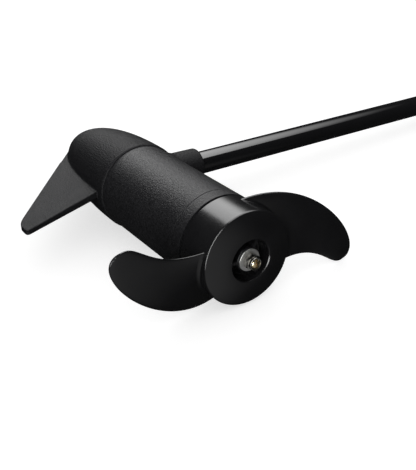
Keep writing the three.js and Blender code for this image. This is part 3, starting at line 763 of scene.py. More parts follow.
def skeg(sizes, sunk=0.0, edge=0.0):
    """The fin, thinner towards its tip. It may be sunk below its real surface, or have bevelled edges."""
    outline = skeg_outline()
    if sunk:
        outline = offset(outline, sunk)
    root = 40 * MM

    def level(outline_, side, drop=0.0):
        ring = []
        for x, y in outline_:
            out = min(1.0, max(0.0, (-x - root) / (SKEG_REACH - root)))
            half = (sizes.skeg_root + out * (sizes.skeg_tip - sizes.skeg_root)) / 2 - sunk
            ring.append((x, y, side * (half - drop)))
        return ring

    if not edge:
        return loft("skeg", [level(outline, -1), level(outline, 1)])
    inner = offset(outline, edge)
    rings = [level(inner, -1), level(outline, -1, edge), level(outline, 1, edge), level(inner, 1)]
    return loft("skeg", rings)


def offset(outline, inward):
    """A flat outline moved inward by a distance, whichever way round it runs."""
    area = sum(a[0] * b[1] - b[0] * a[1] for a, b in zip(outline, outline[1:] + outline[:1]))
    sign = 1 if area > 0 else -1
    result = []
    for i, point in enumerate(outline):
        before, after = Vector(outline[i - 1]), Vector(outline[(i + 1) % len(outline)])
        here = Vector(point)
        first, second = (here - before).normalized(), (after - here).normalized()
        normals = [Vector((-side.y, side.x)) * sign for side in (first, second)]
        middle = (normals[0] + normals[1]).normalized()
        result.append(tuple(here + middle * (inward / max(0.4, middle.dot(normals[0])))))
    return result


def casting_skin(sizes):
    """Nose, fin and tube boss flowed into one skin."""
    nose = revolve("nose", [(0.0, 184 * MM), (sizes.nose_radius, 184 * MM),
                            *nose_outline(sizes.nose_full - 2 * MM, 0.0, sizes, 60)], ROUND, closed=False)
    flare = sizes.boss_radius
    boss_outline = [(0.0, 14 * MM), (flare + 5 * MM, 14 * MM), (flare + 4 * MM, 44 * MM),
                    (flare + 0.5 * MM, 54 * MM),
                    (flare, BOSS_END, sizes.boss_round), (0.0, BOSS_END)]
    boss = tubewise(revolve("boss", eased(boss_outline, 0.0, closed=False, steps=6), 96, closed=False))
    target = scratch(merged("nose_casting", [nose, skeg(sizes, sunk=0.25 * MM), boss]))
    remesh = target.modifiers.new("Skin", "REMESH")
    remesh.mode = "VOXEL"
    remesh.voxel_size = sizes.voxel
    soften = target.modifiers.new("Flow", "SMOOTH")
    soften.factor = 0.5
    soften.iterations = sizes.blend_passes
    return evaluated(target)


def rim_cutter(sizes):
    """Cuts the casting off square at its joint face, with a rounded rim."""
    rim, radius, rounding = BARREL_END + 0.3 * MM, sizes.nose_radius, sizes.rim_round
    arc = []
    for i in range(7):
        angle = math.radians(88) * i / 6
        arc.append((radius - rounding + rounding * math.sin(angle),
                    rim + rounding - rounding * math.cos(angle)))
    return revolve("rim_cutter", [(0.0, 170 * MM), (60 * MM, 170 * MM), (60 * MM, rim + rounding * 1.1),
                                  (radius + 0.3 * MM, rim + rounding * 1.1), *reversed(arc), (0.0, rim)],
                   ROUND, closed=False)


def nose_casting(sizes):
    """The whole casting: skin, joint spigot, inner rooms and bores."""
    fin = cut(skeg(sizes, edge=0.6 * MM), block("root", (60 * MM, 300 * MM, 60 * MM),
                                                (-14 * MM, 250 * MM, 0)))
    skin = cut(joined(casting_skin(sizes), fin), rim_cutter(sizes))
    bore, wall = BARREL_BORE - GAP, 4.6 * MM
    spigot = revolve("spigot", [(BRUSH_ROOM, 180 * MM), (bore, 180 * MM), (bore, 182.2 * MM),
                                (O_RING_SEAT, 182.2 * MM),
                                (O_RING_SEAT, 185.2 * MM), (bore, 185.2 * MM), (bore, 189 * MM),
                                (BRUSH_ROOM, 189 * MM)])
    brush_room = revolve("brush_room", [(0, 179 * MM), (BRUSH_ROOM, 179 * MM), (BRUSH_ROOM, 192 * MM),
                                        (0, 192 * MM)],
                         96, closed=False)
    nose_room = revolve("nose_room", [(0.0, BULKHEAD_END), *nose_outline(BULKHEAD_END, wall, sizes, 24)],
                        96, closed=False)
    hollow = cut(joined(skin, spigot), brush_room, nose_room)
    boss = revolve("bushing_boss", [(0, 188.5 * MM), (14.5 * MM, 188.5 * MM), (14.5 * MM, 206.5 * MM),
                                    (0, 206.5 * MM)], 96, closed=False)
    seat = tubewise(revolve("seat", [(0, 14 * MM), (17.9 * MM, 14 * MM), (17.9 * MM, 42 * MM),
                                     (0, 42 * MM)],
                            96, closed=False))
    bores = [
        rod("bushing_bore", 10.3 * MM, 187.9 * MM, 207 * MM),
        tubewise(rod("tube_bore", TUBE_RADIUS + GAP, TUBE_START - GAP, BOSS_END + 1 * MM, 128)),
        tubewise(rod("wire_way", 8 * MM, 11 * MM, 22 * MM)),
    ]
    x, y, z = WIRE_HOLE_PLACE
    for across in (-1, 1):
        bolt = rod("bolt_hole", BOLT_HOLE, 178 * MM, 197.2 * MM, 32)
        bores.append(spun(bolt, 0, (0, 0, across * BOLT_CIRCLE)))
        lead = rod("wire_hole", WIRE_HOLE, 190 * MM, 200 * MM, 32)
        bores.append(spun(lead, 0, (x, y, across * z)))
    for angle in (45, 225):
        screw = rod("screw_hole", SCREW_HOLE, BULKHEAD_START, 196.5 * MM, 24)
        bores.append(spun(screw, angle, (0, 0, SCREW_CIRCLE)))
    return cut(joined(hollow, boss, seat), *bores)


def rod(name, radius, start, end, sides=SMALL):
    """A plain cylinder along the motor axis."""
    return revolve(name, [(0, start), (radius, start), (radius, end), (0, end)], sides, closed=False)


# ------------------------------------------------------------------ barrel, end bell and tube

def barrel():
    """The motor barrel: a plain tube with eased ends."""
    outline = [(BARREL_BORE, BARREL_START), (BARREL_RADIUS, BARREL_START), (BARREL_RADIUS, BARREL_END),
               (BARREL_BORE, BARREL_END)]
    return revolve("center_housing", eased(outline, 0.45 * MM))


def end_bell():
    """The rear housing, with its seal boss, bearing seat and spigot."""
    start, end = REAR_START + 9.1 * MM, BARREL_START - GAP
    outside, spigot = BARREL_RADIUS, BARREL_BORE - GAP
    outline = [
        (13.3 * MM, REAR_START), (17 * MM, REAR_START, 0.8 * MM), (17 * MM, start, 1.5 * MM),
        (outside - GROOVE_DEPTH, start), (outside - GROOVE_DEPTH, start + GROOVE_WIDTH),
        (outside, start + GROOVE_WIDTH, 0.15 * MM), (outside, end, 0.6 * MM), (spigot, end, 0),
        (spigot, end + 1.8 * MM), (O_RING_SEAT, end + 1.8 * MM), (O_RING_SEAT, end + 4.8 * MM),
        (spigot, end + 4.8 * MM),
        (spigot, REAR_END, 0.6 * MM), (37.5 * MM, REAR_END), (37.5 * MM, start + 4.5 * MM, 2 * MM),
        (19.5 * MM, start + 4.5 * MM, 2 * MM), (19.5 * MM, 57.6 * MM), (16 * MM, 57.6 * MM),
        (16 * MM, 46.7 * MM),
        (11 * MM, 46.7 * MM), (11 * MM, 44.5 * MM), (13.3 * MM, 44.5 * MM),
    ]
    body = revolve("rear_housing", eased(outline, 0.2 * MM, steps=3))
    holes = [spun(rod("bolt_hole", BOLT_HOLE, 38 * MM, 63 * MM, 32), angle, (0, 0, BOLT_CIRCLE))
             for angle in (0, 180)]
    return cut(body, *holes)


def tube():
    """The column tube, square at both ends with a broken edge."""
    outline = [(TUBE_BORE, TUBE_START), (TUBE_RADIUS, TUBE_START), (TUBE_RADIUS, TUBE_END),
               (TUBE_BORE, TUBE_END)]
    return tubewise(revolve("column_tube", eased(outline, 0.35 * MM), 128))


# ------------------------------------------------------------------ propeller

def cubic(points, t):
    """A point on a cubic curve in the plane."""
    weights = ((1 - t) ** 3, 3 * t * (1 - t) ** 2, 3 * t * t * (1 - t), t ** 3)
    return Vector((sum(w * p[0] for w, p in zip(weights, points)),
                   sum(w * p[1] for w, p in zip(weights, points))))


LEADING_EDGE = [(7.5, 42.3), (83, 63), (149, -29), (122, -38.5)]
TRAILING_EDGE = [(39.3, -17.5), (96, -13), (103, -53.5), (122, -38.5)]


def blade(sizes, turn, spans=110, around=56):
    """One blade on its helix, flared where it leaves the hub."""
    rings = []
    for row in range(spans + 1):
        t = row / spans
        span = 1 - (1 - t) ** 1.5
        closing = min(1.0, (1 - t) / 0.10)
        width = math.sin(closing * math.pi / 2)
        front, back = cubic(LEADING_EDGE, span) * MM, cubic(TRAILING_EDGE, span) * MM
        front_turn, back_turn = math.atan2(front.y, front.x), math.atan2(back.y, back.x)
        thick = sizes.blade_root + (sizes.blade_tip - sizes.blade_root) * span
        ring = []
        for i in range(around):
            angle = TAU * i / around
            across = 0.5 + 0.5 * width * math.cos(angle)
            radius = back.length + (front.length - back.length) * across
            about = back_turn + (front_turn - back_turn) * across
            lift = max(0.0, 1 - max(0.0, radius - sizes.hub_radius) / sizes.blade_fillet)
            flare = sizes.blade_fillet * (1 - math.sqrt(max(0.0, 1 - lift ** 2)))
            side = math.copysign(abs(math.sin(angle)) ** 0.8, math.sin(angle))
            y = sizes.helix_start + sizes.helix_rise * about + side * (thick / 2 * width + flare)
            ring.append((radius * math.cos(about), y, radius * math.sin(about)))
        rings.append(ring)
    return spun(loft("blade", rings), turn)


def disc_face(radius, sizes, inset=0.0):
    """Height of the crowned disc at a radius."""
    share = (radius - sizes.recess) / (sizes.hub_radius - sizes.recess)
    return inset - sizes.crown * (1 - max(0.0, share) ** 1.7)


def hub(sizes, nylon):
    """The hub's cup: crowned disc, recess, boss with its shaft bore, and ribs."""
    outer, wall, recess, boss = sizes.hub_radius, sizes.hub_wall, sizes.recess, sizes.boss
    shaft = 6.3 * MM
    edge = 0.7 * MM
    stations = [recess + edge + (outer - 3.2 * MM - recess - edge) * i / 14 for i in range(15)]
    crown = [(r, disc_face(r, sizes), 0) for r in stations]
    under = [(r, disc_face(r, sizes, wall), 0) for r in (38 * MM, 34 * MM, 30 * MM, 26 * MM)]
    outline = [
        (recess, disc_face(recess, sizes) + edge, 0.15 * MM), *crown, (outer, 0.2 * MM, 3.1 * MM),
        *[(outer, sizes.hub_end * i / 6, 0) for i in range(1, 6)],
        (outer, sizes.hub_end, 0.4 * MM), (outer - wall, sizes.hub_end, 0.5 * MM),
        (outer - wall, 5 * MM, 3 * MM),
        *under, (recess + wall, disc_face(recess + wall, sizes, wall), 1 * MM),
        (recess + wall, 13 * MM, 1 * MM),
        (boss, 13 * MM, 1 * MM), (boss, 21.5 * MM, 0.4 * MM), (shaft, 21.5 * MM, 0.3 * MM),
        (shaft, -0.8 * MM, 0.3 * MM), (boss, -0.8 * MM, 0.5 * MM), (boss + 0.6 * MM, 10 * MM, 1 * MM),
        (recess - 0.6 * MM, 10 * MM, 1 * MM),
    ]
    body = revolve("propeller", eased(outline, 0.3 * MM, steps=5), 192)
    depth = recess - boss + 2 * MM
    rib = block("rib", (3 * MM, 11 * MM, depth), (0, 4.7 * MM, (recess + boss) / 2))
    pocket = repeated(spun(rib, 30), 3, nylon, turn=TAU / 3)
    inside = outer - recess - wall - 1 * MM
    rib = block("rib", (2.6 * MM, 26 * MM, inside), (0, 15 * MM, (outer + recess) / 2 + 0.2 * MM))
    inner = repeated(rib, 4, nylon, turn=TAU / 4)
    return joined(body, pocket, inner)


def propeller(sizes, nylon):
    """Hub and blades in one moulding, with the slot for the drive pin."""
    blades = [blade(sizes, 360 / sizes.blades * i) for i in range(sizes.blades)]
    slot = block("pin_slot", (34 * MM, 10 * MM, 5.4 * MM), (0, 19.5 * MM, 0))
    return cut(joined(hub(sizes, nylon), *blades), slot)


# ------------------------------------------------------------------ shaft end, nut and washer

def threaded(radius, depth, pitch, start, end, sides=64, per_turn=10):
    """Rows of points of a screw thread: the radius falls and rises once every pitch."""
    rows = []
    steps = round((end - start) / pitch * per_turn)
    for i in range(steps + 1):
        y = start + (end - start) * i / steps
        row = []
        for k in range(sides):
            phase = (y / pitch - k / sides) % 1.0
            groove = depth * (1 - abs(2 * phase - 1) ** 1.5)
            fade = min(1.0, (y - start) / pitch, (end - y) / pitch)
            near = radius - groove * max(0.0, fade)
            row.append((near * math.cos(TAU * k / sides), y, near * math.sin(TAU * k / sides)))
        rows.append(row)
    return rows


def shaft():
    """The armature shaft: slotted threaded end, circlip groove, core seat and nose journal."""
    start, end = along("armature_shaft")
    rows = threaded(4 * MM, 0.6 * MM, 1.25 * MM, start + 0.7 * MM, 2 * MM)
    sides = len(rows[0])

    def row(radius, y):
        return [(radius * math.cos(TAU * k / sides), y, radius * math.sin(TAU * k / sides))
                for k in range(sides)]

    outline = eased([(4 * MM, 2 * MM, 0), (6 * MM, 2.01 * MM, 0.3 * MM), (6 * MM, 45.1 * MM, 0),
                     (5.3 * MM, 45.11 * MM, 0),
                     (5.3 * MM, 46.49 * MM, 0), (6 * MM, 46.5 * MM, 0), (6 * MM, 57.3 * MM, 0),
                     (8 * MM, 57.31 * MM, 0.4 * MM), (8 * MM, 160 * MM, 0.4 * MM), (6 * MM, 160.01 * MM, 0),
                     (6 * MM, end - 0.8 * MM, 0), (5.2 * MM, end, 0)], 0.0, closed=False)
    rings = [row(3.2 * MM, start), row(3.5 * MM, start + 0.15 * MM), *rows,
             *[row(r, y) for r, y in outline[1:]]]
    slot = block("driver_slot", (1.1 * MM, 3 * MM, 10 * MM), (0, start, 0))
    pin_hole = rod("pin_hole", 2.7 * MM, -9 * MM, 9 * MM, 48)
    pin_hole.transform(Matrix.Translation((0, 17.5 * MM, 0)) @ Matrix.Rotation(math.pi / 2, 4, "Z"))
    return crisp(cut(loft("armature_shaft", rings), slot, pin_hole))


def nut():
    """A lock nut: hexagon with chamfered corners and a round collar over the locking ring."""
    low, high = along("prop_nut")
    collar_end = low + 3.2 * MM
    corner = 6.5 * MM / math.cos(math.pi / 6)
    hexagon = spun(rod("hexagon", corner, collar_end - 0.1 * MM, high, 6), 30)
    turned = revolve("chamfer", [(0, low), (corner - 1.4 * MM, low + 1 * MM),
                                 (corner - 1.1 * MM, collar_end - 0.1 * MM),
                                 (corner, collar_end + 0.5 * MM), (corner, high - 0.6 * MM),
                                 (corner - 0.8 * MM, high),
                                 (0, high)], 96, closed=False)
    body = combined(hexagon, [turned], "INTERSECT")
    collar = revolve("collar", eased([(4.7 * MM, low, 0.5 * MM), (5.9 * MM, low, 0.6 * MM),
                                      (5.9 * MM, collar_end + 1 * MM), (4.7 * MM, collar_end + 1 * MM)],
                                     0.1 * MM), 96)
    well = rod("locking_well", 4.85 * MM, low - 1 * MM, collar_end, 64)
    bore = rod("nut_bore", 4.3 * MM, low - 1 * MM, high + 1 * MM, 64)
    return crisp(cut(joined(body, collar), well, bore))


def washer():
    """A flat washer with broken edges."""
    start, end = along("prop_washer")
    inner, outer = radii("prop_washer")
    return revolve("prop_washer", eased([(inner, start), (outer, start), (outer, end), (inner, end)],
                                        0.25 * MM), 96)


# ------------------------------------------------------------------ inside the motor

def core_plate(sizes, thickness):
    """One lamination: teeth with narrow slot mouths round a bored middle."""
    bore, outer = radii("armature_core")
    start = along("armature_core")[0]
    mouth, half = sizes.slot_mouth / 2, sizes.slot_width / 2
    side = [(outer, mouth), (outer - 1.1 * MM, mouth), (outer - 2.2 * MM, half),
            (sizes.slot_bottom + 1.5 * MM, half), (sizes.slot_bottom, 0.45 * half)]
    outline = []
    for i in range(sizes.slots):
        middle = TAU * i / sizes.slots
        turns = [(radius, -math.asin(across / radius)) for radius, across in side]
        turns += [(radius, -turn) for radius, turn in reversed(turns)]
        last = turns[-1][1]
        turns += [(outer, last + (TAU / sizes.slots - 2 * last) * share) for share in (0.25, 0.5, 0.75)]
        outline += [(radius * math.cos(middle + turn), radius * math.sin(middle + turn)) for radius,
                    turn in turns]
    plate = loft("core_plate", [[(x, y, z) for x, z in outline] for y in (start, start + thickness)])
    return cut(plate, rod("core_bore", bore, start - 1 * MM, start + 1 * MM + thickness, 48))


def armature_core(sizes, material):
    """The stack of laminations."""
    start, end = along("armature_core")
    pitch = (end - start) / sizes.plates
    return repeated(core_plate(sizes, 0.86 * pitch), sizes.plates, material, step=(0, pitch, 0))


def coil_strand(sizes, depth):
    """One wire of a coil: down a slot, over the end of the core, and back up the slot that it reaches."""
    outer = radii("armature_core")[1]
    start, end = along("armature_core")
    low, high = along("armature_winding")
    radius = outer - 3.5 * MM - depth
    span = TAU * sizes.reach / sizes.slots
    points = []
    for side, face, limit in ((1, end, high), (-1, start, low)):
        bulge = abs(limit - face) - 2 * sizes.wire - 0.35 * depth
        for i in range(15):
            share = i / 14 if side > 0 else 1 - i / 14
            rise = math.sin(math.pi * share) ** 0.7
            inward = radius - 5.5 * MM * math.sin(math.pi * share)
            turn = span * share
            points.append((inward * math.cos(turn), face + side * (0.6 * MM + bulge * rise),
                           inward * math.sin(turn)))
    return points


def armature_winding(sizes, material):
    """Copper heaps at both ends of the core, a bar in every slot, and the coils' outer strands."""
    start, end = along("armature_core")
    low, high = along("armature_winding")
    inner = radii("armature_winding")[0]
    outer = radii("armature_core")[1] - 4.6 * MM
    heaps = []
    for near, far in ((start, low), (end, high)):
        out = math.copysign(1, far - near)
        near, far = near + out * 0.3 * MM, far - out * 1.2 * MM
        outline = [(inner, near), (outer, near, 2 * MM), (outer, far - out * 4 * MM, 3 * MM),
                   (outer - 5 * MM, far, 2 * MM),
                   (inner, far, 1 * MM)]
        heaps.append(revolve("heap", eased(outline, 0.0), 72))
    bar = block("bar", (sizes.slot_width - 1 * MM, end - start + 2 * MM, 8 * MM),
                (0, (start + end) / 2, sizes.slot_bottom + 5.5 * MM))
    pitch = TAU / sizes.slots
    bars = repeated(spun(bar, 90), sizes.slots, material, turn=pitch)
    depths = [2.1 * sizes.wire * i for i in range(sizes.strands)]
    coil = wires([coil_strand(sizes, depth) for depth in depths], sizes.wire, 7, material, closed=True)
    coils = repeated(coil, sizes.slots, material, turn=pitch)
    return merged("armature_winding", [*heaps, bars, coils])


def commutator(sizes, material):
    """Copper bars with thin gaps between them, on an inner ring."""
    start, end = along("commutator")
    inner, outer = radii("commutator")
    half = math.pi / sizes.slots - 0.4 * MM / outer
    rings = []
    for y, drop in ((start, 0.3 * MM), (start + 0.3 * MM, 0), (end - 0.3 * MM, 0), (end, 0.3 * MM)):
        arc = [half * (2 * i / 6 - 1) for i in range(7)]
        ring = [((outer - drop) * math.sin(turn), y, (outer - drop) * math.cos(turn)) for turn in arc]
        ring += [(9 * MM * math.sin(turn), y, 9 * MM * math.cos(turn)) for turn in reversed(arc)]
        rings.append(ring)
    bars = repeated(loft("bar", rings), sizes.slots, material, turn=TAU / sizes.slots)
    core = revolve("commutator_core", eased([(inner, start), (8.8 * MM, start), (8.8 * MM, end),
                                             (inner, end)],
                                            0.3 * MM), 72)
    return merged("commutator", [bars, core])


def bearing_ring(node, outwards, sizes):
    """A bearing ring with its land, rounded corners and the track for the balls."""
    start, end = along(node)
    inner, outer = radii(node)
    middle, pitch = (start + end) / 2, (radii("bearing_inner_ring")[0] + radii("bearing_outer_ring")[1]) / 2
    seat = outer if outwards > 0 else inner
    land = pitch + outwards * 2.1 * MM
    track = []
    for i in range(13):
        turn = math.radians(-48 + 8 * i)
        reach = sizes.ball + 0.15 * MM
        track.append((pitch + outwards * reach * math.cos(turn), middle + reach * math.sin(turn), 0))
    outline = [(seat, start, 0.6 * MM), (land, start, 0.3 * MM), *track, (land, end, 0.3 * MM),
               (seat, end, 0.6 * MM)]
    return revolve(node, eased(outline, 0.0), 96)


def ball_cage(sizes, material):
    """The bearing's balls and the band that spaces them."""
    start, end = along("ball_cage")
    middle, pitch = (start + end) / 2, (radii("bearing_inner_ring")[0] + radii("bearing_outer_ring")[1]) / 2
    ball = [(0.0, -sizes.ball)]
    ball += [(sizes.ball * math.cos(math.radians(turn)), sizes.ball * math.sin(math.radians(turn)))
             for turn in range(-80, 81, 10)]
    ball += [(0.0, sizes.ball)]
    one = revolve("ball", ball, 28, closed=False)
    one.transform(Matrix.Translation((0, middle, pitch)))
    balls = repeated(one, sizes.balls, material, turn=TAU / sizes.balls)
    half = 0.6 * MM
    band = revolve("band", eased([(pitch - half, middle - 1.6 * MM), (pitch + half, middle - 1.6 * MM),
                                  (pitch + half, middle + 1.6 * MM), (pitch - half, middle + 1.6 * MM)],
                                 0.3 * MM), 96)
    return crisp(joined(band, balls))


def brush_spring(node, sizes, material):
    """A coil spring between a brush and the end of its holder."""
    low, high = along(node, axis=2)
    middle = sum(along(node)) / 2
    reach = (along(node)[1] - along(node)[0]) / 2
    mesh = grow("Coil", Radius=reach - sizes.spring_wire, Height=high - low - 2 * sizes.spring_wire,
                Turns=sizes.spring_turns, Wire=sizes.spring_wire, Finish=material)
    mesh.transform(Matrix.Translation((0, middle, low + sizes.spring_wire)))
    return outward(mesh)


def through_bolt(node):
    """A long socket-head bolt with a chamfered head and a hexagon socket."""
    start, end = along(node)
    place = sum(along(node, axis=2)) / 2
    outline = eased([(0, start, 0), (4.3 * MM, start, 0.5 * MM), (4.3 * MM, start + 4.7 * MM, 0.2 * MM),
                     (2.4 * MM, start + 4.7 * MM, 0.3 * MM), (2.4 * MM, end, 0.5 * MM), (0, end, 0)], 0.0,
                    closed=False)
    socket = rod("socket", 2 * MM, start - 1 * MM, start + 2.5 * MM, 6)
    bolt = cut(revolve(node, outline, 48, closed=False), socket)
    return spun(crisp(bolt), 0, (0, 0, place))


# ------------------------------------------------------------------ operators

class BuildNoseCasting(bpy.types.Operator):
    """Nose casting with its fin and tube boss"""
    bl_idname = "lower_unit.nose_casting"
    bl_label = "Nose Casting"

    def execute(self, context):
        mesh = nose_casting(context.scene.lower_unit_castings)
        piece(crisp(mesh, 40), "nose_casting", material_for(SLOTS["nose_casting"]))
        return {"FINISHED"}


class BuildHousings(bpy.types.Operator):
    """Motor barrel and end bell"""
    bl_idname = "lower_unit.housings"
    bl_label = "Barrel and End Bell"

    def execute(self, context):
        piece(barrel(), "center_housing", material_for(SLOTS["center_housing"]))
        piece(crisp(end_bell(), 40), "rear_housing", material_for(SLOTS["center_housing"]))
        return {"FINISHED"}


class BuildTube(bpy.types.Operator):
    """Column tube"""
    bl_idname = "lower_unit.column_tube"
    bl_label = "Column Tube"

    def execute(self, context):
        piece(tube(), "column_tube", material_for(SLOTS["column_tube"]))
        return {"FINISHED"}


class BuildPropeller(bpy.types.Operator):
    """Propeller with its hub and blades"""
    bl_idname = "lower_unit.propeller"
    bl_label = "Propeller"

    def execute(self, context):
        nylon = material_for(SLOTS["propeller"])
        piece(crisp(propeller(context.scene.lower_unit_propeller, nylon), 38), "propeller", nylon, ROTOR)
        return {"FINISHED"}


class BuildShaftEnd(bpy.types.Operator):
    """Shaft, nut and washer"""
    bl_idname = "lower_unit.shaft_end"
    bl_label = "Shaft, Nut and Washer"

    def execute(self, context):
        piece(shaft(), "armature_shaft", material_for("shaft_steel"), ROTOR)
        # The nut's finish is stainless painted darker, as painted shade for its facets.
        piece(nut(), "prop_nut", material_for("nut"), ROTOR)
        piece(washer(), "prop_washer", material_for("stainless"), ROTOR)
        return {"FINISHED"}


class BuildArmature(bpy.types.Operator):
    """Armature core, winding and commutator"""
    bl_idname = "lower_unit.armature"
    bl_label = "Armature"

    def execute(self, context):
        sizes = context.scene.lower_unit_motor
        for node, make in (("armature_core", armature_core), ("armature_winding", armature_winding),
                           ("commutator", commutator)):
            material = material_for(SLOTS[node])
            piece(crisp(make(sizes, material)), node, material, ROTOR)
        return {"FINISHED"}


class BuildBearing(bpy.types.Operator):
    """Ball bearing: both rings, the balls and their cage"""
    bl_idname = "lower_unit.bearing"
    bl_label = "Bearing"

    def execute(self, context):
        sizes = context.scene.lower_unit_motor
        steel = material_for(SLOTS["ball_cage"])
        piece(crisp(bearing_ring("bearing_inner_ring", -1, sizes)), "bearing_inner_ring", steel, ROTOR)
        piece(crisp(bearing_ring("bearing_outer_ring", 1, sizes)), "bearing_outer_ring", steel)
        piece(ball_cage(sizes, steel), "ball_cage", steel)
        return {"FINISHED"}


class BuildSpringsAndBolts(bpy.types.Operator):
    """Brush springs and through bolts"""
    bl_idname = "lower_unit.springs_and_bolts"
    bl_label = "Springs and Bolts"

    def execute(self, context):
        for number in (1, 2):
            spring, bolt = f"brush_spring_{number}", f"through_bolt_{number}"
            material = material_for(SLOTS[spring])
            piece(brush_spring(spring, context.scene.lower_unit_motor, material), spring, material)
            piece(through_bolt(bolt), bolt, material_for(SLOTS[bolt]))
        return {"FINISHED"}


class FinishInnerParts(bpy.types.Operator):
    """Finishes for the CAD nodes that stay"""
    bl_idname = "lower_unit.inner_parts"
    bl_label = "Inner Parts"

    def execute(self, context):
        for node, target in frame["nodes"].items():
            target.data.materials.clear()
            target.data.materials.append(material_for(SLOTS[node]))
        return {"FINISHED"}


# ------------------------------------------------------------------ stage

class StageSettings(bpy.types.PropertyGroup):
    """Camera, lights and floor."""
    lens: bpy.props.FloatProperty(name="Lens", description="Focal length", default=58.2, unit="CAMERA")
    camera_place: bpy.props.FloatVectorProperty(
        name="Camera place", description="Camera's place in the pod's own frame", size=3, unit="LENGTH",
        default=(-0.3434, -0.4609, 0.3215))
    camera_turn: bpy.props.FloatVectorProperty(
        name="Camera turn", description="Yaw, pitch below level, and roll in the pod's own frame", size=3,
        subtype="EULER", default=(math.radians(-33.28), math.radians(27.42), math.radians(0.93)))
    panel_light: bpy.props.FloatProperty(
        name="Overhead panel", description="Radiance of the overhead panel's bright side", default=6.0)
    strip_light: bpy.props.FloatProperty(
        name="Front strip", description="Radiance of the strip at the front left", default=19.0)
    floor_tone: bpy.props.FloatProperty(
        name="Floor tone", description="How much of the light that falls on it the floor gives back",
        default=0.60)
    floor_glow: bpy.props.FloatProperty(
        name="Floor glow", description="Light of the floor itself, which keeps its shadows pale",
        default=0.64)
    floor_fill: bpy.props.FloatProperty(
        name="Floor fill", description="Radiance of the soft light that only the floor takes", default=0.5)
    sky: bpy.props.FloatProperty(name="Sky", description="Even light that falls on dull surfaces",
                                 default=1.0)


def area_light(name, place, target, size, radiance):
    """A rectangular softbox aimed at a point."""
    data = bpy.data.lights.new(name, "AREA")
    data.shape = "RECTANGLE"
    data.size, data.size_y = size
    data.energy = radiance * math.pi * size[0] * size[1]
    light = bpy.data.objects.new(name, data)
    light.location = place
    light.rotation_euler = (Vector(target) - Vector(place)).to_track_quat("-Z", "Y").to_euler()
    bpy.context.scene.collection.objects.link(light)
    return light


def only_for(light, target, state):
    """Keeps a light off one object, or for that object alone."""
    receivers = bpy.data.collections.new(f"{light.name}_receivers")
    receivers.objects.link(target)
    receivers.collection_objects[0].light_linking.link_state = state
    light.light_linking.receiver_collection = receivers


def fade_across(light, full, none):
    """Fades a panel across its width, from full brightness to none, as shares of its width."""
    light.data.use_nodes = True
    tree = light.data.node_tree
    place = tree.nodes.new("ShaderNodeNewGeometry")
    split = tree.nodes.new("ShaderNodeSeparateXYZ")
    fade = tree.nodes.new("ShaderNodeMapRange")
    fade.interpolation_type = "SMOOTHSTEP"
    socket_value(fade, From_Min=full, From_Max=none, To_Min=1.0, To_Max=0.0)
    tree.links.new(place.outputs["Parametric"], split.inputs["Vector"])
    tree.links.new(split.outputs["X"], fade.inputs["Value"])
    tree.links.new(fade.outputs["Result"], tree.nodes["Emission"].inputs["Strength"])


def floor_material(tone, glow):
    """White paper that glows a little, so that its shadows stay pale."""
    material = bpy.data.materials.new("white_floor")
    material.use_nodes = True
    tree = material.node_tree
    shader = tree.nodes["Principled BSDF"]
    socket_value(shader, Base_Color=(tone, tone, tone, 1), Roughness=1.0, Specular_IOR_Level=0.0,
                 Emission_Color=(1, 1, 1, 1), Emission_Strength=glow)
    return material


def studio_world(sky):
    """White to the camera, an even sky to dull surfaces, and a dark room with a dim card at the
    front left to glossy ones."""
    world = bpy.data.worlds.new("studio")
    world.use_nodes = True
    world.cycles.sampling_method = "NONE"
    tree = world.node_tree
    tree.nodes.clear()
    link = tree.links.new
    ray = tree.nodes.new("ShaderNodeLightPath")
    place = tree.nodes.new("ShaderNodeTexCoord")
    toward = tree.nodes.new("ShaderNodeVectorMath")
    toward.operation = "DOT_PRODUCT"
    toward.inputs[1].default_value = Vector((-0.25, -0.85, -0.45)).normalized()
    card = tree.nodes.new("ShaderNodeMapRange")
    card.interpolation_type = "SMOOTHSTEP"
    socket_value(card, From_Min=0.6, From_Max=1.0, To_Min=0.02, To_Max=0.7)
    diffuse = tree.nodes.new("ShaderNodeMix")
    seen = tree.nodes.new("ShaderNodeMix")
    diffuse.inputs["B"].default_value = sky
    seen.inputs["B"].default_value = 1.0
    light = tree.nodes.new("ShaderNodeBackground")
    out = tree.nodes.new("ShaderNodeOutputWorld")
    link(place.outputs["Generated"], toward.inputs[0])
    link(toward.outputs["Value"], card.inputs["Value"])
    link(ray.outputs["Is Diffuse Ray"], diffuse.inputs["Factor"])
    link(card.outputs["Result"], diffuse.inputs["A"])
    link(ray.outputs["Is Camera Ray"], seen.inputs["Factor"])
    link(diffuse.outputs["Result"], seen.inputs["A"])
    link(seen.outputs["Result"], light.inputs["Strength"])
    link(light.outputs["Background"], out.inputs["Surface"])
    bpy.context.scene.world = world


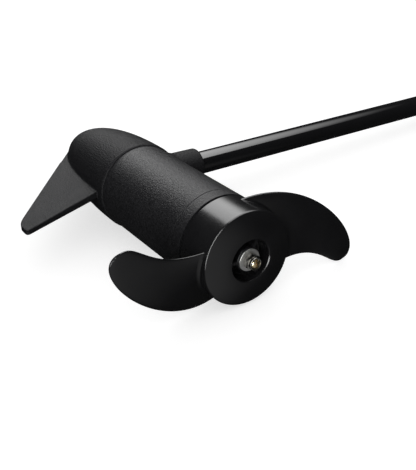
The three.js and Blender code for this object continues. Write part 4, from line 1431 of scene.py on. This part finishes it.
class BuildStage(bpy.types.Operator):
    """Floor, lights and camera"""
    bl_idname = "lower_unit.stage"
    bl_label = "Stage"

    def execute(self, context):
        settings = context.scene.lower_unit_stage
        studio_world(settings.sky)
        floor_mesh = bpy.data.meshes.new("floor")
        half = 12.0
        floor_mesh.from_pydata([(-half, -half, 0), (half, -half, 0), (half, half, 0), (-half, half, 0)], [],
                               [(0, 1, 2, 3)])
        floor_mesh.materials.append(floor_material(settings.floor_tone, settings.floor_glow))
        floor = bpy.data.objects.new("floor", floor_mesh)
        context.scene.collection.objects.link(floor)
        floor.visible_glossy = False
        floor.visible_diffuse = False

        pod = POD.translation
        height = 1.3
        left, right, front, back = -0.12, 1.9, -0.45, 3.4
        middle = pod + height * Vector(((left + right) / 2, (front + back) / 2, 1))
        panel = area_light("overhead_panel", middle, middle - Vector((0, 0, 1)),
                           ((right - left) * height, (back - front) * height), settings.panel_light)
        panel.rotation_euler = (0, 0, 0)
        fade_across(panel, 0.33, 0.78)
        fill = area_light("floor_fill", middle, pod, (height, height), settings.floor_fill)
        strip = area_light("front_strip", pod + Vector((-1.3, -1.1, 0.6)), pod, (0.5, 2.8),
                           settings.strip_light)

        only_for(panel, floor, "EXCLUDE")
        only_for(strip, floor, "EXCLUDE")
        only_for(fill, floor, "INCLUDE")

        yaw, pitch, roll = settings.camera_turn
        turn = Matrix.Rotation(yaw, 4, "Z") @ Matrix.Rotation(math.pi / 2 - pitch, 4, "X")
        place = Matrix.Translation(settings.camera_place) @ turn @ Matrix.Rotation(-roll, 4, "Z")
        data = bpy.data.cameras.new("camera")
        data.lens = settings.lens
        data.sensor_width = 36.0
        data.clip_end = 50.0
        camera = bpy.data.objects.new("camera", data)
        camera.matrix_world = POD @ place
        context.scene.collection.objects.link(camera)
        context.scene.camera = camera
        context.scene.view_settings.view_transform = "Standard"
        return {"FINISHED"}


class LowerUnitPanel(bpy.types.Panel):
    """Lists the pieces in the sidebar"""
    bl_idname = "VIEW3D_PT_lower_unit"
    bl_label = "Lower Unit"
    bl_space_type = "VIEW_3D"
    bl_region_type = "UI"
    bl_category = "Lower Unit"

    def draw(self, context):
        layout = self.layout
        for operator in OPERATORS:
            layout.operator(operator.bl_idname)
        for name in SETTINGS:
            box = layout.box()
            holder = getattr(context.scene, name)
            for field in holder.bl_rna.properties:
                if not field.is_readonly and field.identifier != "name":
                    box.prop(holder, field.identifier)


OPERATORS = (BuildStage, FinishInnerParts, BuildNoseCasting, BuildHousings, BuildTube, BuildPropeller,
             BuildShaftEnd,
             BuildArmature, BuildBearing, BuildSpringsAndBolts)
SETTINGS = {"lower_unit_castings": CastingSizes, "lower_unit_propeller": PropellerSizes,
            "lower_unit_motor": MotorSizes, "lower_unit_colours": FinishColours,
            "lower_unit_stage": StageSettings}
CLASSES = (*SETTINGS.values(), *OPERATORS, LowerUnitPanel)


def register():
    for cls in CLASSES:
        bpy.utils.register_class(cls)
    for name, kind in SETTINGS.items():
        setattr(bpy.types.Scene, name, bpy.props.PointerProperty(type=kind))


def unregister():
    for name in SETTINGS:
        delattr(bpy.types.Scene, name)
    for cls in reversed(CLASSES):
        bpy.utils.unregister_class(cls)


def main():
    register()
    for operator in OPERATORS:
        category, name = operator.bl_idname.split(".")
        getattr(getattr(bpy.ops, category), name)()


if __name__ == "__main__":
    main()
